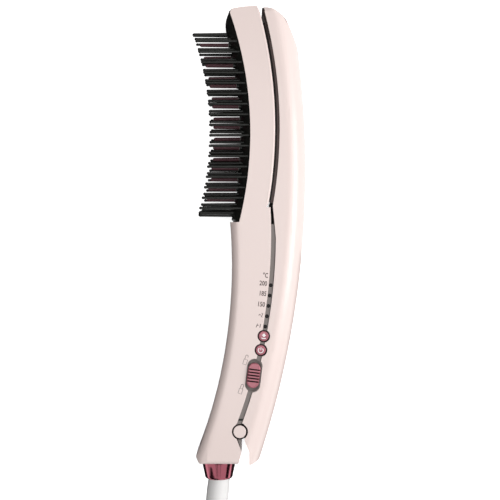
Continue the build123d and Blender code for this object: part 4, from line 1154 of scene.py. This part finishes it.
bootLook = {"lean": 6.4, "radius": 7.4, "length": 48.0, "endRadius": 4.2, "grooves": 5, "taperFrom": 22.0,
            "taperOver": 22.0, "firstGroove": 24.0, "groovePitch": 4.0, "groove": 1.2}
bootPlace = spot(collarLook["x"] + 0.2, collarLook["topY"] - collarLook["cadLength"], midDepth)
atBoot = (Matrix.Translation(bootPlace) @ Matrix.Rotation(radians(-bootLook["lean"]), 4, "Z")
          @ Matrix.Rotation(pi / 2, 4, "X"))
long, wide, narrow = bootLook["length"], bootLook["radius"], bootLook["endRadius"]
start = bootLook["taperFrom"]
profile = [(0, -3.2), (wide - 0.4, -3.2), (wide - 0.15, -1.0), (wide - 0.3, 0.6), (wide - 0.12, 3.0),
           (wide, 8.0), (wide - 0.1, 14.0), (wide - 0.6, start)]
for index in range(bootLook["grooves"]):
    z = bootLook["firstGroove"] + bootLook["groovePitch"] * index
    outer = wide - 0.75 - (wide - narrow - 1.35) * (z - start) / bootLook["taperOver"]
    inner = outer - bootLook["groove"]
    profile += [(outer, z - 1.1), (outer - 0.2, z - 0.85), (inner, z - 0.7), (inner, z + 0.7),
                (outer - 0.35, z + 0.85), (outer - 0.15, z + 1.1)]
profile += [(narrow + 0.35, long - 3.5), (narrow + 0.1, long - 0.8), (narrow - 0.3, long - 0.1), (3.05, long),
            (0, long)]
lathedPiece("swivelBoot", profile, atBoot, 96, "swivel", "boot", "swivel_boot")
print("collar and boot made")


# Printed temperatures and marks beside the strip

labels = [("°C", 16.8, 101.6), ("200", 15.3, 96.4), ("185", 14.9, 89.8), ("150", 13.9, 82.8)]


def textInto(shape, text, x, y):
    curve = bpy.data.curves.new("label", "FONT")
    curve.body = text
    curve.size = labelLook["size"]
    curve.align_x = "CENTER"
    curve.align_y = "CENTER"
    curve.resolution_u = 3
    curve.offset = labelLook["bold"]
    holder = addObject("label", curve)
    mesh = bpy.data.meshes.new_from_object(holder.evaluated_get(bpy.context.evaluated_depsgraph_get()))
    mesh.transform(Matrix.Translation((x, y, 0)) @ Matrix.Rotation(radians(labelLook["turn"]), 4, "Z")
                   @ Matrix.Diagonal((labelLook["narrow"], 1, 1, 1)))
    shape.from_mesh(mesh)
    bpy.data.objects.remove(holder)
    bpy.data.meshes.remove(mesh)


shape = bmesh.new()
for label in labels:
    textInto(shape, *label)
printPiece("faceNumbers", shape, printBrown, (0, 0, 0))

# Two small marks below the numbers, each a few strokes
markStrokes = {
    "heatMark": (13.7, 75.9, [(-1.4, -0.3), (-0.7, 0.5), (-0.1, -0.2)],
                 [(0.3, 1.2), (1.2, 1.1), (0.4, -1.2), (1.3, -1.2)]),
    "coolMark": (12.3, 69.0, [(-1.6, -1.2), (-0.9, 1.2), (-0.2, 0.2), (-1.2, -0.1)],
                 [(1.1, 1.2), (0.9, -1.2)]),
}
for name, (x, y, *strokes) in markStrokes.items():
    shape = bmesh.new()
    for stroke in strokes:
        strokeInto(shape, stroke, 0.42)
    printPiece(name, shape, printBrown, (x, y, labelLook["turn"]))


# Padlock outlines beside the knob: open above, closed below

lockLook = {"width": 2.3, "height": 3.3, "rise": 2.2, "line": 0.36, "inset": 0.35, "foot": 0.15,
            "openFoot": 1.6}


def padlockMark(name, x, y, turn, isOpen):
    wide, high, line = lockLook["width"] / 2, lockLook["height"], lockLook["line"]
    half = wide - lockLook["inset"]
    shape = bmesh.new()
    strokeInto(shape, [(-wide, -high), (wide, -high), (wide, 0), (-wide, 0)], line, True)
    rightFoot = lockLook["openFoot"] if isOpen else lockLook["foot"]
    arch = arcPath(0, lockLook["rise"], half, 180, 0, 14)
    strokeInto(shape, [(-half, lockLook["foot"])] + arch + [(half, rightFoot)], line)
    printPiece(name, shape, markGrey, (x, y, turn))


padlockMark("openMark", 4.0, 47.0, -18.0, True)
padlockMark("closedMark", 1.0, 28.0, -19.0, False)
print("labels made")
